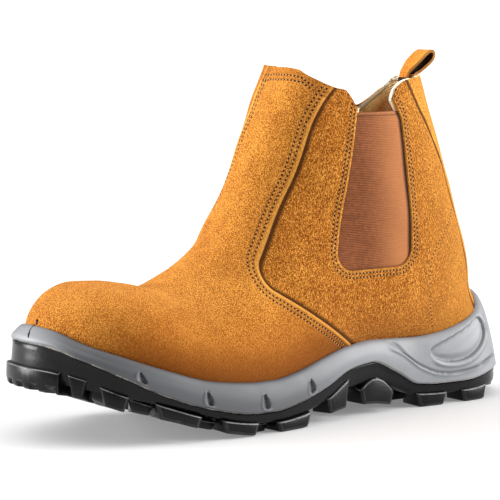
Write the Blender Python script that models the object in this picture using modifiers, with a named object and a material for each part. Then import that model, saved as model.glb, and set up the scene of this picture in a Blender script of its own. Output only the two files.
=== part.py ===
"""Left pull-on leather ankle boot, standing on its sole, toe towards -X, outer side towards -Y."""
import math

import bmesh
import bpy
import numpy as np
from mathutils import Vector

MM = 0.001

# Every size and table below is in millimetres; a mesh is scaled to metres as it is made.
GAP = 0.3
RIM_GAP = 0.4
WALL = 3.0
QUARTER_STEP = 1.2
BACK_STRIP_STEP = 1.8
GORE_SINK = 1.9
GORE_THICK = 1.1
INSOLE_THICK = 4.0
RIM_RISE = 0.8
SEAM_INSET = 1.2
LOOP_WIDTH = 12.0
LOOP_THICK = 1.8
GROOVE_RADIUS = 1.1
POINTS_PER_SIDE = 10
SKIN_SHARE = 0.985
SOLE_STATIONS = 40


def table(columns, rows):
    """Named columns of a short table."""
    values = np.array(rows, float)
    return {name: values[:, place] for place, name in enumerate(columns)}


# Plan outline of the sole, from the tip of the toe to the back of the heel.
LATERAL_EDGE = [
    (-150.5, 7), (-146.5, -11), (-134, -29), (-113, -43), (-80, -51), (-45, -53), (-5, -48),
    (35, -40), (75, -38), (110, -39), (133, -33.5), (147, -19.5), (151.5, 0),
]
MEDIAL_EDGE = [
    (-150.5, 7), (-147.5, 23.5), (-135.5, 38.5), (-113, 48), (-85, 52.5), (-58, 52.5), (-20, 45),
    (20, 37), (60, 35), (110, 38), (133, 32.5), (147, 19), (151.5, 0),
]

# Heights along the sole: tread, web between the lugs, joint of the two layers at the edge and in the
# core, footbed, feather line, and how far that line lies inside the outline.
SOLE = table(("x", "tread", "web", "joint", "core", "footbed", "feather", "inset"), [
    (-151, 28.0, 33.5, 51.0, 41.5, 46.0, 59.0, 10.0),
    (-146, 27.2, 33.0, 50.5, 40.0, 44.5, 57.5, 9.4),
    (-135, 25.2, 30.5, 45.0, 35.5, 40.0, 52.0, 7.4),
    (-117, 18.4, 25.6, 35.5, 29.0, 33.5, 45.5, 6.0),
    (-95, 12.6, 20.0, 24.5, 23.0, 27.5, 38.0, 5.6),
    (-70, 5.0, 12.5, 16.0, 16.0, 22.5, 30.6, 5.3),
    (-47, 0.6, 6.5, 11.5, 11.5, 20.0, 27.8, 5.2),
    (-42, 0.0, 6.0, 11.2, 11.2, 19.8, 27.5, 5.2),
    (-30, 0.0, 5.8, 11.0, 11.0, 19.6, 27.4, 5.2),
    (-12, 0.0, 7.0, 13.7, 13.0, 21.0, 29.8, 5.2),
    (7, 4.0, 11.0, 18.8, 17.0, 24.0, 34.3, 5.2),
    (27, 6.2, 16.0, 26.5, 21.5, 28.5, 38.6, 5.2),
    (43, 5.6, 17.0, 28.3, 22.5, 30.0, 40.0, 5.2),
    (61, 2.6, 12.0, 21.0, 18.5, 29.0, 39.4, 5.3),
    (76, 0.0, 6.5, 13.0, 13.0, 28.0, 38.8, 5.5),
    (90, 0.0, 5.8, 11.8, 11.8, 28.0, 39.8, 5.9),
    (110, 0.0, 5.8, 11.7, 11.7, 28.0, 43.6, 7.0),
    (133, 0.0, 6.2, 14.8, 13.0, 28.0, 51.0, 9.6),
    (143, 0.9, 7.0, 15.8, 13.5, 28.0, 56.0, 12.0),
    (151, 2.4, 8.0, 16.2, 13.8, 28.0, 59.5, 13.5),
])
CORE_INSET = 7.6
INSOLE_PLAY = table(("x", "play"), [(-150, 1.0), (-130, 0.7), (80, 0.7), (98, 1.9), (150, 2.2)])

# Sections of the last, fanned from the toe to the collar.  A base up to 1 is the share of the feather
# line from toe to heel, and from 1 to 2 it climbs the back seam.
SECTIONS = table(("ridge_x", "ridge_z", "ridge_y", "base", "lateral", "medial", "boxy", "front"), [
    (-140.6, 59.0, 7.0, 0.000, 0, 0, 2.1, 1.00),
    (-136.8, 66.2, 7.0, 0.035, 0, 0, 2.1, 1.00),
    (-130.6, 72.3, 6.6, 0.068, 0, 0, 2.2, 1.00),
    (-123.4, 76.8, 6.0, 0.105, 0, 0, 2.3, 1.00),
    (-114.0, 79.2, 5.4, 0.145, 0, 0, 2.3, 1.00),
    (-102.0, 79.0, 4.6, 0.190, 0, 0, 2.3, 1.00),
    (-89.0, 77.0, 4.0, 0.240, 0, 0, 2.2, 1.00),
    (-76.0, 74.8, 3.0, 0.290, 0, 0, 2.1, 1.00),
    (-66.5, 77.0, 2.0, 0.335, 0, 0, 2.0, 1.00),
    (-56.0, 82.4, 1.5, 0.385, 0, 0, 2.0, 1.00),
    (-45.5, 91.2, 1.0, 0.450, 0, 0, 2.0, 1.00),
    (-35.5, 103.2, 0.5, 0.530, 44, 42, 2.0, 1.00),
    (-26.5, 117.2, 0.0, 0.640, 43, 41, 2.0, 1.00),
    (-20.8, 132.0, 0.0, 0.800, 42, 40, 2.1, 1.04),
    (-14.1, 148.0, 0.0, 1.000, 41, 39, 2.2, 1.10),
    (-7.1, 163.0, 0.0, 1.300, 38, 37, 2.25, 1.18),
    (0.4, 178.0, 0.0, 1.650, 34, 34, 2.3, 1.26),
    (8.4, 196.0, 0.0, 2.000, 31, 31, 2.3, 1.32),
])
SECTION_STEPS = (1, 1, 2, 2, 2, 2, 2, 2, 2, 2, 3, 4, 5, 5, 3, 2, 2)
BACK_SEAM = table(("z", "x"), [
    (59.5, 137.9), (72, 136.8), (93, 130.6), (108, 125.2),
    (131, 118.2), (157, 109.6), (174, 103), (192, 97.2),
])

# Edge of the collar, height at each place along the boot on either side.
COLLAR = table(("x", "lateral", "medial"), [
    (-30, 189, 189), (4, 189, 189), (21, 178.4, 187.6), (29, 176, 180), (36, 166.5, 171),
    (40, 165.5, 167), (57, 165, 163.5), (60, 167, 163.2), (62, 172, 163.2), (66, 177, 163.1),
    (71, 179.6, 163.1), (77, 181, 163.5), (82, 181.5, 165), (90, 182, 171.5), (98, 182.5, 179.5),
    (100, 182.5, 182.2), (130, 183, 183),
])
COLLAR_STEPS = 33
ROUGH_TOP = 191.0
# Corners of the side cut-outs and of the panels' edges, seen from the side, each with its radius.
GORE_CORNERS = [
    (46, 208, 0), (15, 80, 9), (69, 80, 11), (67.6, 145, 40), (66.8, 160, 0), (60.5, 172, 0), (56, 208, 0),
]
GORE_TOP = 164.0
VAMP_CORNERS = [
    (53.7, 210, 0), (8.5, 164, 25), (-4.4, 129, 80), (-31.5, 78.5, 12), (34, 36.5, 0), (180, 36.5, 0),
    (180, 210, 0),
]
STRIP_EDGE = table(("z", "x"), [
    (60, 123.5), (82, 117.5), (107, 110), (132, 101.8), (157, 87.2), (164, 82.4), (210, 54),
])
STRIP_STEPS = 10
STRIP_FOOT = 64.0

# Lugs along both edges of the tread: place, how far up the wall and how far out and in they stand.
LUGS = table(("start", "end", "rise", "proud", "depth"), [
    (-139.5, -132.8, 0.54, 1.4, 16), (-127.8, -115.0, 0.50, 1.4, 17), (-102.0, -76.5, 0.60, 1.4, 18),
    (-65.0, -42.0, 0.62, 1.4, 20), (-30.0, -5.0, 0.52, 1.4, 20), (8.0, 25.0, 0.70, 1.2, 14),
    (34.0, 59.0, 0.62, 1.2, 14), (74.5, 95.5, 0.62, 1.4, 17), (106.0, 127.0, 0.62, 1.4, 16),
])
BUMPER = {"share": 0.072, "rise": 0.52, "proud": 2.2, "depth": 15}
BACK_LUG = {"from": 0.953, "to": 0.990, "rise": 0.55, "proud": 1.6, "depth": 14}
MIDDLE_LUGS = table(("x", "y", "length", "width"), [
    (-112, 4, 14, 26), (-88, 2, 16, 30), (-62, 0, 16, 34), (-36, 0, 16, 36),
    (-14, -1, 12, 32), (82, 0, 14, 24), (104, 0, 14, 22), (124, 0, 10, 18),
])

# Notches and grooves of the midsole's side: place along the boot and share of the side's height.
NOTCHES = {"places": (-109, -73, -38, -5), "width": 3.0, "depth": 1.2, "low": 0.12, "high": 0.72}
LEAF = [
    (83.5, 0.68), (88, 0.50), (97, 0.38), (107, 0.36), (116, 0.40), (125, 0.50), (131, 0.66),
    (128, 0.84), (117, 0.83), (106, 0.79), (95, 0.75), (87, 0.72),
]
SWOOP = [
    (46, 0.86), (58, 0.74), (69, 0.54), (79, 0.34), (90, 0.19), (101, 0.15),
    (114, 0.16), (127, 0.18), (138, 0.20),
]

# The pull loop in the plane of the back seam, measured from the outer face at the top of the back.
LOOP = [
    (-2.4, -12), (-4.9, -5), (-6.4, 0), (-5.4, 4.4), (-2.6, 8.4), (2.0, 11.8), (6.6, 13.6),
    (9.8, 13.2), (10.8, 10.6), (8.8, 7.2), (5.0, 3.8), (1.4, 1.0), (0.9, -4), (3.3, -11),
]

COLOURS = {
    "suede": ((0.63, 0.31, 0.075), 0.92),
    "elastic": ((0.30, 0.13, 0.075), 0.88),
    "midsole_foam": ((0.42, 0.43, 0.45), 0.55),
    "black_rubber": ((0.025, 0.025, 0.027), 0.62),
    "insole_felt": ((0.52, 0.40, 0.26), 0.95),
}


def smooth(keys, values, at):
    """Height of the monotone cubic curve through a column of a table."""
    steps = np.diff(keys)
    slopes = np.diff(values) / steps
    tangents = np.zeros(len(keys))
    tangents[0] = slopes[0]
    tangents[-1] = slopes[-1]
    for place in range(1, len(keys) - 1):
        before, after = slopes[place - 1], slopes[place]
        if before * after > 0:
            tangents[place] = 2 * before * after / (before + after)
    at = min(max(at, keys[0]), keys[-1])
    place = min(int(np.searchsorted(keys, at, side="right")) - 1, len(keys) - 2)
    u = (at - keys[place]) / steps[place]
    bend = steps[place] * (u * (1 - u) ** 2 * tangents[place] - u * u * (1 - u) * tangents[place + 1])
    return values[place] * (1 + 2 * u) * (1 - u) ** 2 + values[place + 1] * u * u * (3 - 2 * u) + bend


class Path:
    """Smooth plan curve through points, measured by its share of the length."""

    def __init__(self, points, start, end):
        points = np.array(points, float)
        chords = np.linalg.norm(np.diff(points, axis=0), axis=1)
        count = len(points)
        system = np.zeros((count, count))
        right = np.zeros_like(points)
        system[0, 0] = 1
        system[-1, -1] = 1
        right[0] = start
        right[-1] = end
        for i in range(1, count - 1):
            before, after = chords[i - 1], chords[i]
            system[i, i - 1:i + 2] = (after, 2 * (before + after), before)
            right[i] = 3 * after * (points[i] - points[i - 1]) / before
            right[i] += 3 * before * (points[i + 1] - points[i]) / after
        slopes = np.linalg.solve(system, right)
        dense = []
        for i in range(count - 1):
            for u in np.linspace(0, 1, 40, endpoint=False):
                bend = u * (1 - u) ** 2 * slopes[i] - u * u * (1 - u) * slopes[i + 1]
                spot = points[i] * (1 + 2 * u) * (1 - u) ** 2 + points[i + 1] * u * u * (3 - 2 * u)
                dense.append(spot + chords[i] * bend)
        dense.append(points[-1])
        self.dense = np.array(dense)
        lengths = np.linalg.norm(np.diff(self.dense, axis=0), axis=1)
        self.reach = np.concatenate(([0], np.cumsum(lengths)))
        self.shares = self.reach / self.reach[-1]

    def spot(self, share):
        return np.array([np.interp(share, self.shares, self.dense[:, k]) for k in range(2)])

    def heading(self, share):
        ahead = self.spot(min(share + 0.004, 1)) - self.spot(max(share - 0.004, 0))
        return ahead / np.linalg.norm(ahead)

    def share_at(self, x):
        return float(np.interp(x, self.dense[:, 0], self.shares))


EDGES = {"lateral": Path(LATERAL_EDGE, (0, -1), (0, 1)), "medial": Path(MEDIAL_EDGE, (0, 1), (0, -1))}
OUTWARD = {"lateral": -1, "medial": 1}


def sole_height(column, x):
    return smooth(SOLE["x"], SOLE[column], x)


def edge(side, share, inset):
    """Point of the sole's plan outline moved inwards."""
    spot = EDGES[side].spot(share)
    ahead = EDGES[side].heading(share)
    if share <= 0 or share >= 1:
        ahead = np.array([0, OUTWARD[side] if share <= 0 else -OUTWARD[side]])
    outward = OUTWARD[side] * np.array([-ahead[1], ahead[0]])
    return spot - outward * inset


def feather(side, share, out=0.0, lift=0.0):
    """Point of the line where the upper leaves the sole."""
    x = EDGES[side].spot(share)[0]
    spot = edge(side, share, sole_height("inset", x) - out)
    return np.array([spot[0], spot[1], sole_height("feather", x) + lift])


def wall_spot(side, share, height, out=0.0):
    """Point of the midsole's side, from its lower lip at 0 to the shoulder of its rim at 1."""
    x = EDGES[side].spot(share)[0]
    low, high = sole_height("joint", x) + 1.2, sole_height("feather", x) - 1.4
    inset = 0.2 + (sole_height("inset", x) - 2.9) * height - 0.9 * math.sin(math.pi * height)
    spot = edge(side, share, inset - out)
    return np.array([spot[0], spot[1], low + (high - low) * height])


def base_spot(side, base):
    if base <= 1:
        return feather(side, base)
    z = BACK_SEAM["z"][0] + (BACK_SEAM["z"][-1] - BACK_SEAM["z"][0]) * (base - 1)
    return np.array([smooth(BACK_SEAM["z"], BACK_SEAM["x"], z), 0, z])


def signed_power(value, power):
    return math.copysign(abs(value) ** power, value)


def last_spot(row, part, side):
    """Point of the last: row counts the sections, part runs from the ridge to the base."""
    rows = np.arange(len(SECTIONS["base"]))
    shape = {name: smooth(rows, column, row) for name, column in SECTIONS.items()}
    base = base_spot(side, shape["base"])
    reach = abs(base[1] - shape["ridge_y"]) if shape["base"] < 1 else 0.0
    width = max(shape[side], reach * 1.03)
    power = 2 / shape["boxy"]
    if width <= 0:
        return base
    full = math.pi - math.asin(min(1, (reach / width) ** (1 / power)))
    angle = part * full
    along = (1 - signed_power(math.cos(angle), power)) / (1 - signed_power(math.cos(full), power))
    along = max(along, 0) ** shape["front"]
    x = shape["ridge_x"] + (base[0] - shape["ridge_x"]) * along
    z = shape["ridge_z"] + (base[2] - shape["ridge_z"]) * along
    y = shape["ridge_y"] + OUTWARD[side] * width * max(math.sin(angle), 0) ** power
    if part >= 1:
        return base
    return np.array([x, y, z])


def remove_all():
    for item in list(bpy.data.objects):
        bpy.data.objects.remove(item, do_unlink=True)


def collection(name, hidden):
    group = bpy.data.collections.new(name)
    bpy.context.scene.collection.children.link(group)
    group.hide_render = hidden
    return group


def material(name):
    made = bpy.data.materials.get(name)
    if made:
        return made
    colour, rough = COLOURS[name]
    made = bpy.data.materials.new(name)
    made.use_nodes = True
    shader = made.node_tree.nodes["Principled BSDF"]
    shader.inputs["Base Color"].default_value = (*colour, 1)
    shader.inputs["Roughness"].default_value = rough
    shader.inputs["Metallic"].default_value = 0
    made.diffuse_color = (*colour, 1)
    return made


def to_object(name, bm, group, slot=None):
    """Object of a bmesh in millimetres, scaled to metres."""
    bmesh.ops.scale(bm, vec=(MM, MM, MM), verts=bm.verts)
    bmesh.ops.remove_doubles(bm, verts=bm.verts, dist=0.00001)
    bmesh.ops.dissolve_degenerate(bm, edges=bm.edges, dist=0.000001)
    bmesh.ops.recalc_face_normals(bm, faces=bm.faces)
    mesh = bpy.data.meshes.new(name)
    bm.to_mesh(mesh)
    bm.free()
    made = bpy.data.objects.new(name, mesh)
    group.objects.link(made)
    if slot:
        mesh.materials.append(material(slot))
    return made


def loft(rings, closed=True, caps=False):
    """Surface through rings of equal count."""
    bm = bmesh.new()
    rows = [[bm.verts.new(spot) for spot in ring] for ring in rings]
    count = len(rings[0])
    for near, far in zip(rows, rows[1:]):
        for k in range(count if closed else count - 1):
            a, b, c, d = near[k], near[(k + 1) % count], far[(k + 1) % count], far[k]
            if (a.co - c.co).length < (b.co - d.co).length:
                bm.faces.new((a, b, c))
                bm.faces.new((a, c, d))
            else:
                bm.faces.new((a, b, d))
                bm.faces.new((b, c, d))
    if caps:
        bm.faces.new(rows[0])
        bm.faces.new(rows[-1])
    return bm


def joined(pieces):
    """One bmesh of several."""
    whole = bmesh.new()
    for piece in pieces:
        mesh = bpy.data.meshes.new("piece")
        piece.to_mesh(mesh)
        piece.free()
        whole.from_mesh(mesh)
        bpy.data.meshes.remove(mesh)
    return whole


def rounded(corners, steps=4):
    """Closed outline through corners, each rounded by its own radius."""
    outline = []
    for i, (x, z, radius) in enumerate(corners):
        here = Vector((x, z))
        if radius == 0:
            outline.append(here)
            continue
        back = (Vector(corners[i - 1][:2]) - here).normalized()
        onward = (Vector(corners[(i + 1) % len(corners)][:2]) - here).normalized()
        half = back.angle(onward) / 2
        centre = here + (back + onward).normalized() * radius / math.sin(half)
        start = here + back * radius / math.tan(half) - centre
        finish = here + onward * radius / math.tan(half) - centre
        turn = start.angle_signed(finish)
        for k in range(steps + 1):
            angle = -turn * k / steps
            cos, sin = math.cos(angle), math.sin(angle)
            outline.append(centre + Vector((start.x * cos - start.y * sin, start.x * sin + start.y * cos)))
    return outline


def prism(name, outline, low, high, group):
    """Block with a flat outline seen from the side, from one Y to another."""
    curve = bpy.data.curves.new(name, "CURVE")
    curve.dimensions = "2D"
    curve.fill_mode = "BOTH"
    curve.extrude = (high - low) / 2 * MM
    line = curve.splines.new("POLY")
    line.points.add(len(outline) - 1)
    for point, spot in zip(line.points, outline):
        point.co = (spot[0] * MM, spot[1] * MM, 0, 1)
    line.use_cyclic_u = True
    flat = bpy.data.objects.new(name + "_outline", curve)
    mesh = bpy.data.meshes.new_from_object(flat)
    bm = bmesh.new()
    bm.from_mesh(mesh)
    bpy.data.objects.remove(flat)
    for vert in bm.verts:
        vert.co = Vector((vert.co.x, (low + high) / 2 * MM - vert.co.z, vert.co.y)) / MM
    return to_object(name, bm, group)


def apply_modifiers(item):
    graph = bpy.context.evaluated_depsgraph_get()
    mesh = bpy.data.meshes.new_from_object(item.evaluated_get(graph))
    item.modifiers.clear()
    item.data = mesh
    return item


def combine(item, other, operation):
    """Boolean of two solids, worked into the first."""
    step = item.modifiers.new(operation.lower(), "BOOLEAN")
    step.operation = operation
    step.solver = "EXACT"
    step.object = other
    bpy.context.view_layer.update()
    apply_modifiers(item)
    bm = bmesh.new()
    bm.from_mesh(item.data)
    bmesh.ops.remove_doubles(bm, verts=bm.verts, dist=0.000001)
    bmesh.ops.dissolve_degenerate(bm, edges=bm.edges, dist=0.000001)
    bm.to_mesh(item.data)
    bm.free()
    return item


def last_shell(name, sink, thick, group, slot=None, tail=True):
    """Shell of the last's own form, its outer face sunk below the last and its wall inwards of that."""
    rows = len(SECTIONS["base"]) - 1
    steps = [row + k / count for row, count in enumerate(SECTION_STEPS) for k in range(count)] + [rows]
    parts = np.linspace(0, 1, POINTS_PER_SIDE + 1)
    bases = [smooth(np.arange(rows + 1), SECTIONS["base"], step) for step in steps]
    lines = []
    for step, base in zip(steps, bases):
        share = 1 if tail or base >= 1 else SKIN_SHARE
        lateral = [last_spot(step, part * share, "lateral") for part in parts[::-1]]
        medial = [last_spot(step, part * share, "medial") for part in parts[1:]]
        line = lateral + medial
        if tail:
            line = [tail_spot("lateral", base)] + line + [tail_spot("medial", base)]
        lines.append(line)
    bm = loft(lines, closed=False)
    if tail:
        last_open = max(i for i, base in enumerate(bases) if base <= 1 + 1e-9)
        across = len(lines[0]) - 1
        bm.faces.ensure_lookup_table()
        ends = (0, 1, 2 * across - 2, 2 * across - 1)
        spare = [bm.faces[2 * i * across + k] for i in range(last_open, len(lines) - 1) for k in ends]
        bmesh.ops.delete(bm, geom=spare, context="FACES")
    bmesh.ops.remove_doubles(bm, verts=bm.verts, dist=0.01)
    bmesh.ops.recalc_face_normals(bm, faces=bm.faces)
    crest = max(bm.verts, key=lambda vert: -abs(vert.co.x + 110) + vert.co.z)
    bm.normal_update()
    if crest.normal.z < 0:
        bmesh.ops.reverse_faces(bm, faces=bm.faces)
        bm.normal_update()
    for vert in bm.verts:
        vert.co -= vert.normal * sink
    bmesh.ops.scale(bm, vec=(MM, MM, MM), verts=bm.verts)
    mesh = bpy.data.meshes.new(name)
    bm.to_mesh(mesh)
    bm.free()
    made = bpy.data.objects.new(name, mesh)
    group.objects.link(made)
    if slot:
        mesh.materials.append(material(slot))
    shell = made.modifiers.new("wall", "SOLIDIFY")
    shell.thickness = thick * MM
    shell.offset = -1
    shell.use_even_offset = True
    shell.use_quality_normals = True
    bpy.context.view_layer.update()
    return apply_modifiers(made)


def tail_spot(side, base):
    """Lower end of the upper's wall, down inside the rim on the footbed."""
    if base > 1:
        return base_spot(side, base)
    spot = feather(side, base)
    return np.array([spot[0], spot[1], sole_height("footbed", spot[0]) + GAP])


def across_spots(lateral, medial, column, lift):
    spots = []
    for share in (0.5,):
        x, y = lateral[0] + (medial[0] - lateral[0]) * share, lateral[1] + (medial[1] - lateral[1]) * share
        spots.append(np.array([x, y, sole_height(column, x) + lift]))
    return spots


def level_spot(side, share, inset, column, lift):
    spot = edge(side, share, inset)
    return np.array([spot[0], spot[1], sole_height(column, spot[0]) + lift])


def ring_of(half, share, under, over):
    """Closed cross-section of a sole layer from its half profile."""
    lateral, medial = half("lateral", share), half("medial", share)
    top = across_spots(lateral[-1], medial[-1], *over)
    bottom = across_spots(medial[0], lateral[0], *under)
    return lateral + top + medial[::-1] + bottom


def midsole_half(side, share):
    rim = sole_height("inset", EDGES[side].spot(share)[0])
    foot = feather(side, share, RIM_GAP)
    footbed = sole_height("footbed", foot[0])
    return [
        level_spot(side, share, CORE_INSET, "core", GAP / 2),
        level_spot(side, share, SEAM_INSET, "joint", GAP / 2),
        wall_spot(side, share, 0.0),
        wall_spot(side, share, 0.33),
        wall_spot(side, share, 0.67),
        wall_spot(side, share, 1.0),
        feather(side, share, min(rim, 1.5), RIM_RISE),
        feather(side, share, RIM_GAP, RIM_RISE * 0.4),
        np.array([foot[0], foot[1], footbed]),
    ]


def outsole_half(side, share):
    x = EDGES[side].spot(share)[0]
    web, joint = sole_height("web", x), sole_height("joint", x)
    middle = edge(side, share, 1.4)
    return [
        level_spot(side, share, 3.2, "web", 0),
        np.array([middle[0], middle[1], web + 0.35 * (joint - web)]),
        level_spot(side, share, SEAM_INSET, "joint", -GAP / 2),
        level_spot(side, share, CORE_INSET, "core", -GAP / 2),
    ]


def insole_half(side, share):
    x = EDGES[side].spot(share)[0]
    inset = sole_height("inset", x) + WALL + smooth(INSOLE_PLAY["x"], INSOLE_PLAY["play"], x)
    return [
        level_spot(side, share, inset + 0.4, "footbed", GAP),
        level_spot(side, share, inset, "footbed", GAP + 1),
        level_spot(side, share, inset, "footbed", INSOLE_THICK),
        level_spot(side, share, inset + 1.5, "footbed", INSOLE_THICK + 1),
    ]


def layer(name, half, under, over, group, slot, stations=SOLE_STATIONS):
    rings = [ring_of(half, share, under, over) for share in np.linspace(0, 1, stations + 1)]
    return to_object(name, loft(rings), group, slot)


def lug(side, start, end, rise, proud, depth):
    """Block that stands under the tread's edge and a little out of its wall."""
    rings = []
    for share in np.linspace(start, end, 3):
        x = EDGES[side].spot(share)[0]
        tread, joint = sole_height("tread", x), sole_height("joint", x)
        inward = edge(side, share, depth)
        foot = edge(side, share, 0.6)
        top = edge(side, share, 1.4 - proud)
        ledge = edge(side, share, 2.6)
        rings.append([
            np.array([inward[0], inward[1], sole_height("tread", inward[0])]),
            np.array([foot[0], foot[1], tread]),
            np.array([top[0], top[1], tread + (joint - tread) * rise * 0.85]),
            np.array([ledge[0], ledge[1], tread + (joint - tread) * rise]),
            np.array([inward[0], inward[1], sole_height("web", inward[0]) + 1.0]),
        ])
    return loft(rings, caps=True)


def middle_lug(x, y, length, width):
    rings = []
    for at in (x - length / 2, x + length / 2):
        low, high = sole_height("tread", at), sole_height("web", at) + 1.5
        rings.append([
            np.array([at, y - width / 2, low]), np.array([at, y + width / 2, low]),
            np.array([at, y + width / 2, high]), np.array([at, y - width / 2, high]),
        ])
    return loft(rings, caps=True)


def bumper():
    """Thick step round the front of the toe."""
    rings = []
    spread = [("lateral", share) for share in np.linspace(BUMPER["share"], 0, 5)]
    spread += [("medial", share) for share in np.linspace(0, BUMPER["share"], 5)[1:]]
    for side, share in spread:
        x = EDGES[side].spot(share)[0]
        tread, joint = sole_height("tread", x), sole_height("joint", x)
        ledge = tread + (joint - tread) * BUMPER["rise"]
        inward = edge(side, share, BUMPER["depth"])
        foot = edge(side, share, 0.4)
        out = edge(side, share, 1.4 - BUMPER["proud"])
        back = edge(side, share, 3.0)
        rings.append([
            np.array([inward[0], inward[1], sole_height("tread", inward[0])]),
            np.array([foot[0], foot[1], tread]),
            np.array([out[0], out[1], tread + 2.0]),
            np.array([out[0], out[1], ledge - 0.8]),
            np.array([back[0], back[1], ledge]),
            np.array([inward[0], inward[1], sole_height("web", inward[0]) + 1.0]),
        ])
    return loft(rings, caps=True)


def notch(side, x):
    share = EDGES[side].share_at(x)
    span = NOTCHES["width"] / EDGES[side].reach[-1] / 2
    rings = []
    for height, swell in ((NOTCHES["low"], 1.0), (NOTCHES["high"], 0.45)):
        left, right = share - span * swell, share + span * swell
        deep = wall_spot(side, share, height, -NOTCHES["depth"])
        rings.append([wall_spot(side, left, height, 0.4), deep, wall_spot(side, right, height, 0.4)])
    return loft(rings, caps=True)


def groove(name, side, rows, cyclic, group):
    """Tube along a line of the midsole's side."""
    curve = bpy.data.curves.new(name, "CURVE")
    curve.dimensions = "3D"
    curve.bevel_depth = GROOVE_RADIUS * MM
    curve.bevel_resolution = 1
    curve.use_fill_caps = True
    line = curve.splines.new("POLY")
    line.points.add(len(rows) - 1)
    for point, (x, height) in zip(line.points, rows):
        spot = wall_spot(side, EDGES[side].share_at(x), height, 0.35)
        point.co = (*(spot * MM), 1)
    line.use_cyclic_u = cyclic
    tube = bpy.data.objects.new(name + "_line", curve)
    mesh = bpy.data.meshes.new_from_object(tube)
    bpy.data.objects.remove(tube)
    bm = bmesh.new()
    bm.from_mesh(mesh)
    bmesh.ops.scale(bm, vec=(1 / MM, 1 / MM, 1 / MM), verts=bm.verts)
    return to_object(name, bm, group)


def collar_outline(side):
    spots = [(x, smooth(COLLAR["x"], COLLAR[side], x)) for x in np.linspace(-30, 130, COLLAR_STEPS)]
    return spots + [(130, 230), (-30, 230)]


def strip_outline():
    heights = np.linspace(STRIP_FOOT, 210, STRIP_STEPS)
    spots = [(smooth(STRIP_EDGE["z"], STRIP_EDGE["x"], z), z) for z in heights]
    return spots + [(170, 210), (170, STRIP_FOOT)]


def make_upper(parts, cutters):
    """Suede shell with its collar, side cut-outs and the steps at the panels' edges."""
    upper = last_shell("upper", 0, WALL, parts, "suede")
    above = [(-60, ROUGH_TOP), (140, ROUGH_TOP), (140, 240), (-60, 240)]
    combine(upper, prism("rough_top", above, -90, 90, cutters), "DIFFERENCE")
    panels = (
        ("quarter", rounded(VAMP_CORNERS), QUARTER_STEP),
        ("back_strip", strip_outline(), BACK_STRIP_STEP),
    )
    for name, outline, step in panels:
        skin = last_shell(name + "_recess", -4, 4 + step, cutters, tail=False)
        region = prism(name + "_region", outline, -90, 90, cutters)
        combine(skin, region, "INTERSECT")
        combine(upper, skin, "DIFFERENCE")
    for side, low, high in (("lateral", -90, 0.5), ("medial", -0.5, 90)):
        combine(upper, prism("collar_" + side, collar_outline(side), low, high, cutters), "DIFFERENCE")
    combine(upper, prism("gore_opening", rounded(GORE_CORNERS), -90, 90, cutters), "DIFFERENCE")
    return upper


def level_crossing(first, second):
    share = (GORE_TOP - first[1]) / (second[1] - first[1])
    return (first[0] + (second[0] - first[0]) * share, GORE_TOP, 0)


def make_gore(name, low, high, parts, cutters):
    """Elastic panel that fills a side cut-out."""
    gore = last_shell(name, GORE_SINK, GORE_THICK, parts, "elastic", tail=False)
    below = [corner for corner in GORE_CORNERS if corner[1] < GORE_TOP]
    above = GORE_CORNERS[1 + len(below)]
    corners = [level_crossing(GORE_CORNERS[0], below[0])] + below + [level_crossing(below[-1], above)]
    middle = Vector((43, 122))
    outline = []
    for spot in rounded(corners):
        toward = (middle - spot).normalized()
        outline.append(spot + toward * GAP * 1.5)
    combine(gore, prism(name + "_region", outline, low, high, cutters), "INTERSECT")
    return gore


def make_loop(parts):
    """Folded strip over the top of the back seam."""
    top = 182.5
    back = smooth(BACK_SEAM["z"], BACK_SEAM["x"], top)
    rings = []
    for y in (-LOOP_WIDTH / 2, LOOP_WIDTH / 2):
        rings.append([np.array([back + x, y, top + z]) for x, z in LOOP])
    bm = loft(rings, closed=False)
    bmesh.ops.scale(bm, vec=(MM, MM, MM), verts=bm.verts)
    mesh = bpy.data.meshes.new("pull_loop")
    bm.to_mesh(mesh)
    bm.free()
    made = bpy.data.objects.new("pull_loop", mesh)
    parts.objects.link(made)
    mesh.materials.append(material("suede"))
    shell = made.modifiers.new("strip", "SOLIDIFY")
    shell.thickness = LOOP_THICK * MM
    shell.offset = 0
    shell.use_even_offset = True
    bpy.context.view_layer.update()
    return apply_modifiers(made)


def make_midsole(parts, cutters):
    midsole = layer("midsole", midsole_half, ("core", GAP / 2), ("footbed", 0), parts, "midsole_foam")
    cuts = [notch(side, x) for side in EDGES for x in NOTCHES["places"]]
    combine(midsole, to_object("midsole_notches", joined(cuts), cutters), "DIFFERENCE")
    for side in EDGES:
        combine(midsole, groove("leaf_" + side, side, LEAF, True, cutters), "DIFFERENCE")
        combine(midsole, groove("swoop_" + side, side, SWOOP, False, cutters), "DIFFERENCE")
    return midsole


def make_outsole(parts, cutters):
    outsole = layer("outsole", outsole_half, ("web", 0), ("core", -GAP / 2), parts, "black_rubber")
    blocks = [bumper()]
    for side in EDGES:
        for row in zip(*LUGS.values()):
            start, end = EDGES[side].share_at(row[0]), EDGES[side].share_at(row[1])
            blocks.append(lug(side, start, end, *row[2:]))
        back = BACK_LUG
        blocks.append(lug(side, back["from"], back["to"], back["rise"], back["proud"], back["depth"]))
    for row in zip(*MIDDLE_LUGS.values()):
        blocks.append(middle_lug(*row))
    combine(outsole, to_object("lugs", joined(blocks), cutters), "UNION")
    return outsole


def finish(items):
    """Smooth shading with crisp edges."""
    for item in items:
        item.data.shade_smooth()
        item.data.set_sharp_from_angle(angle=math.radians(32))


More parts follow.
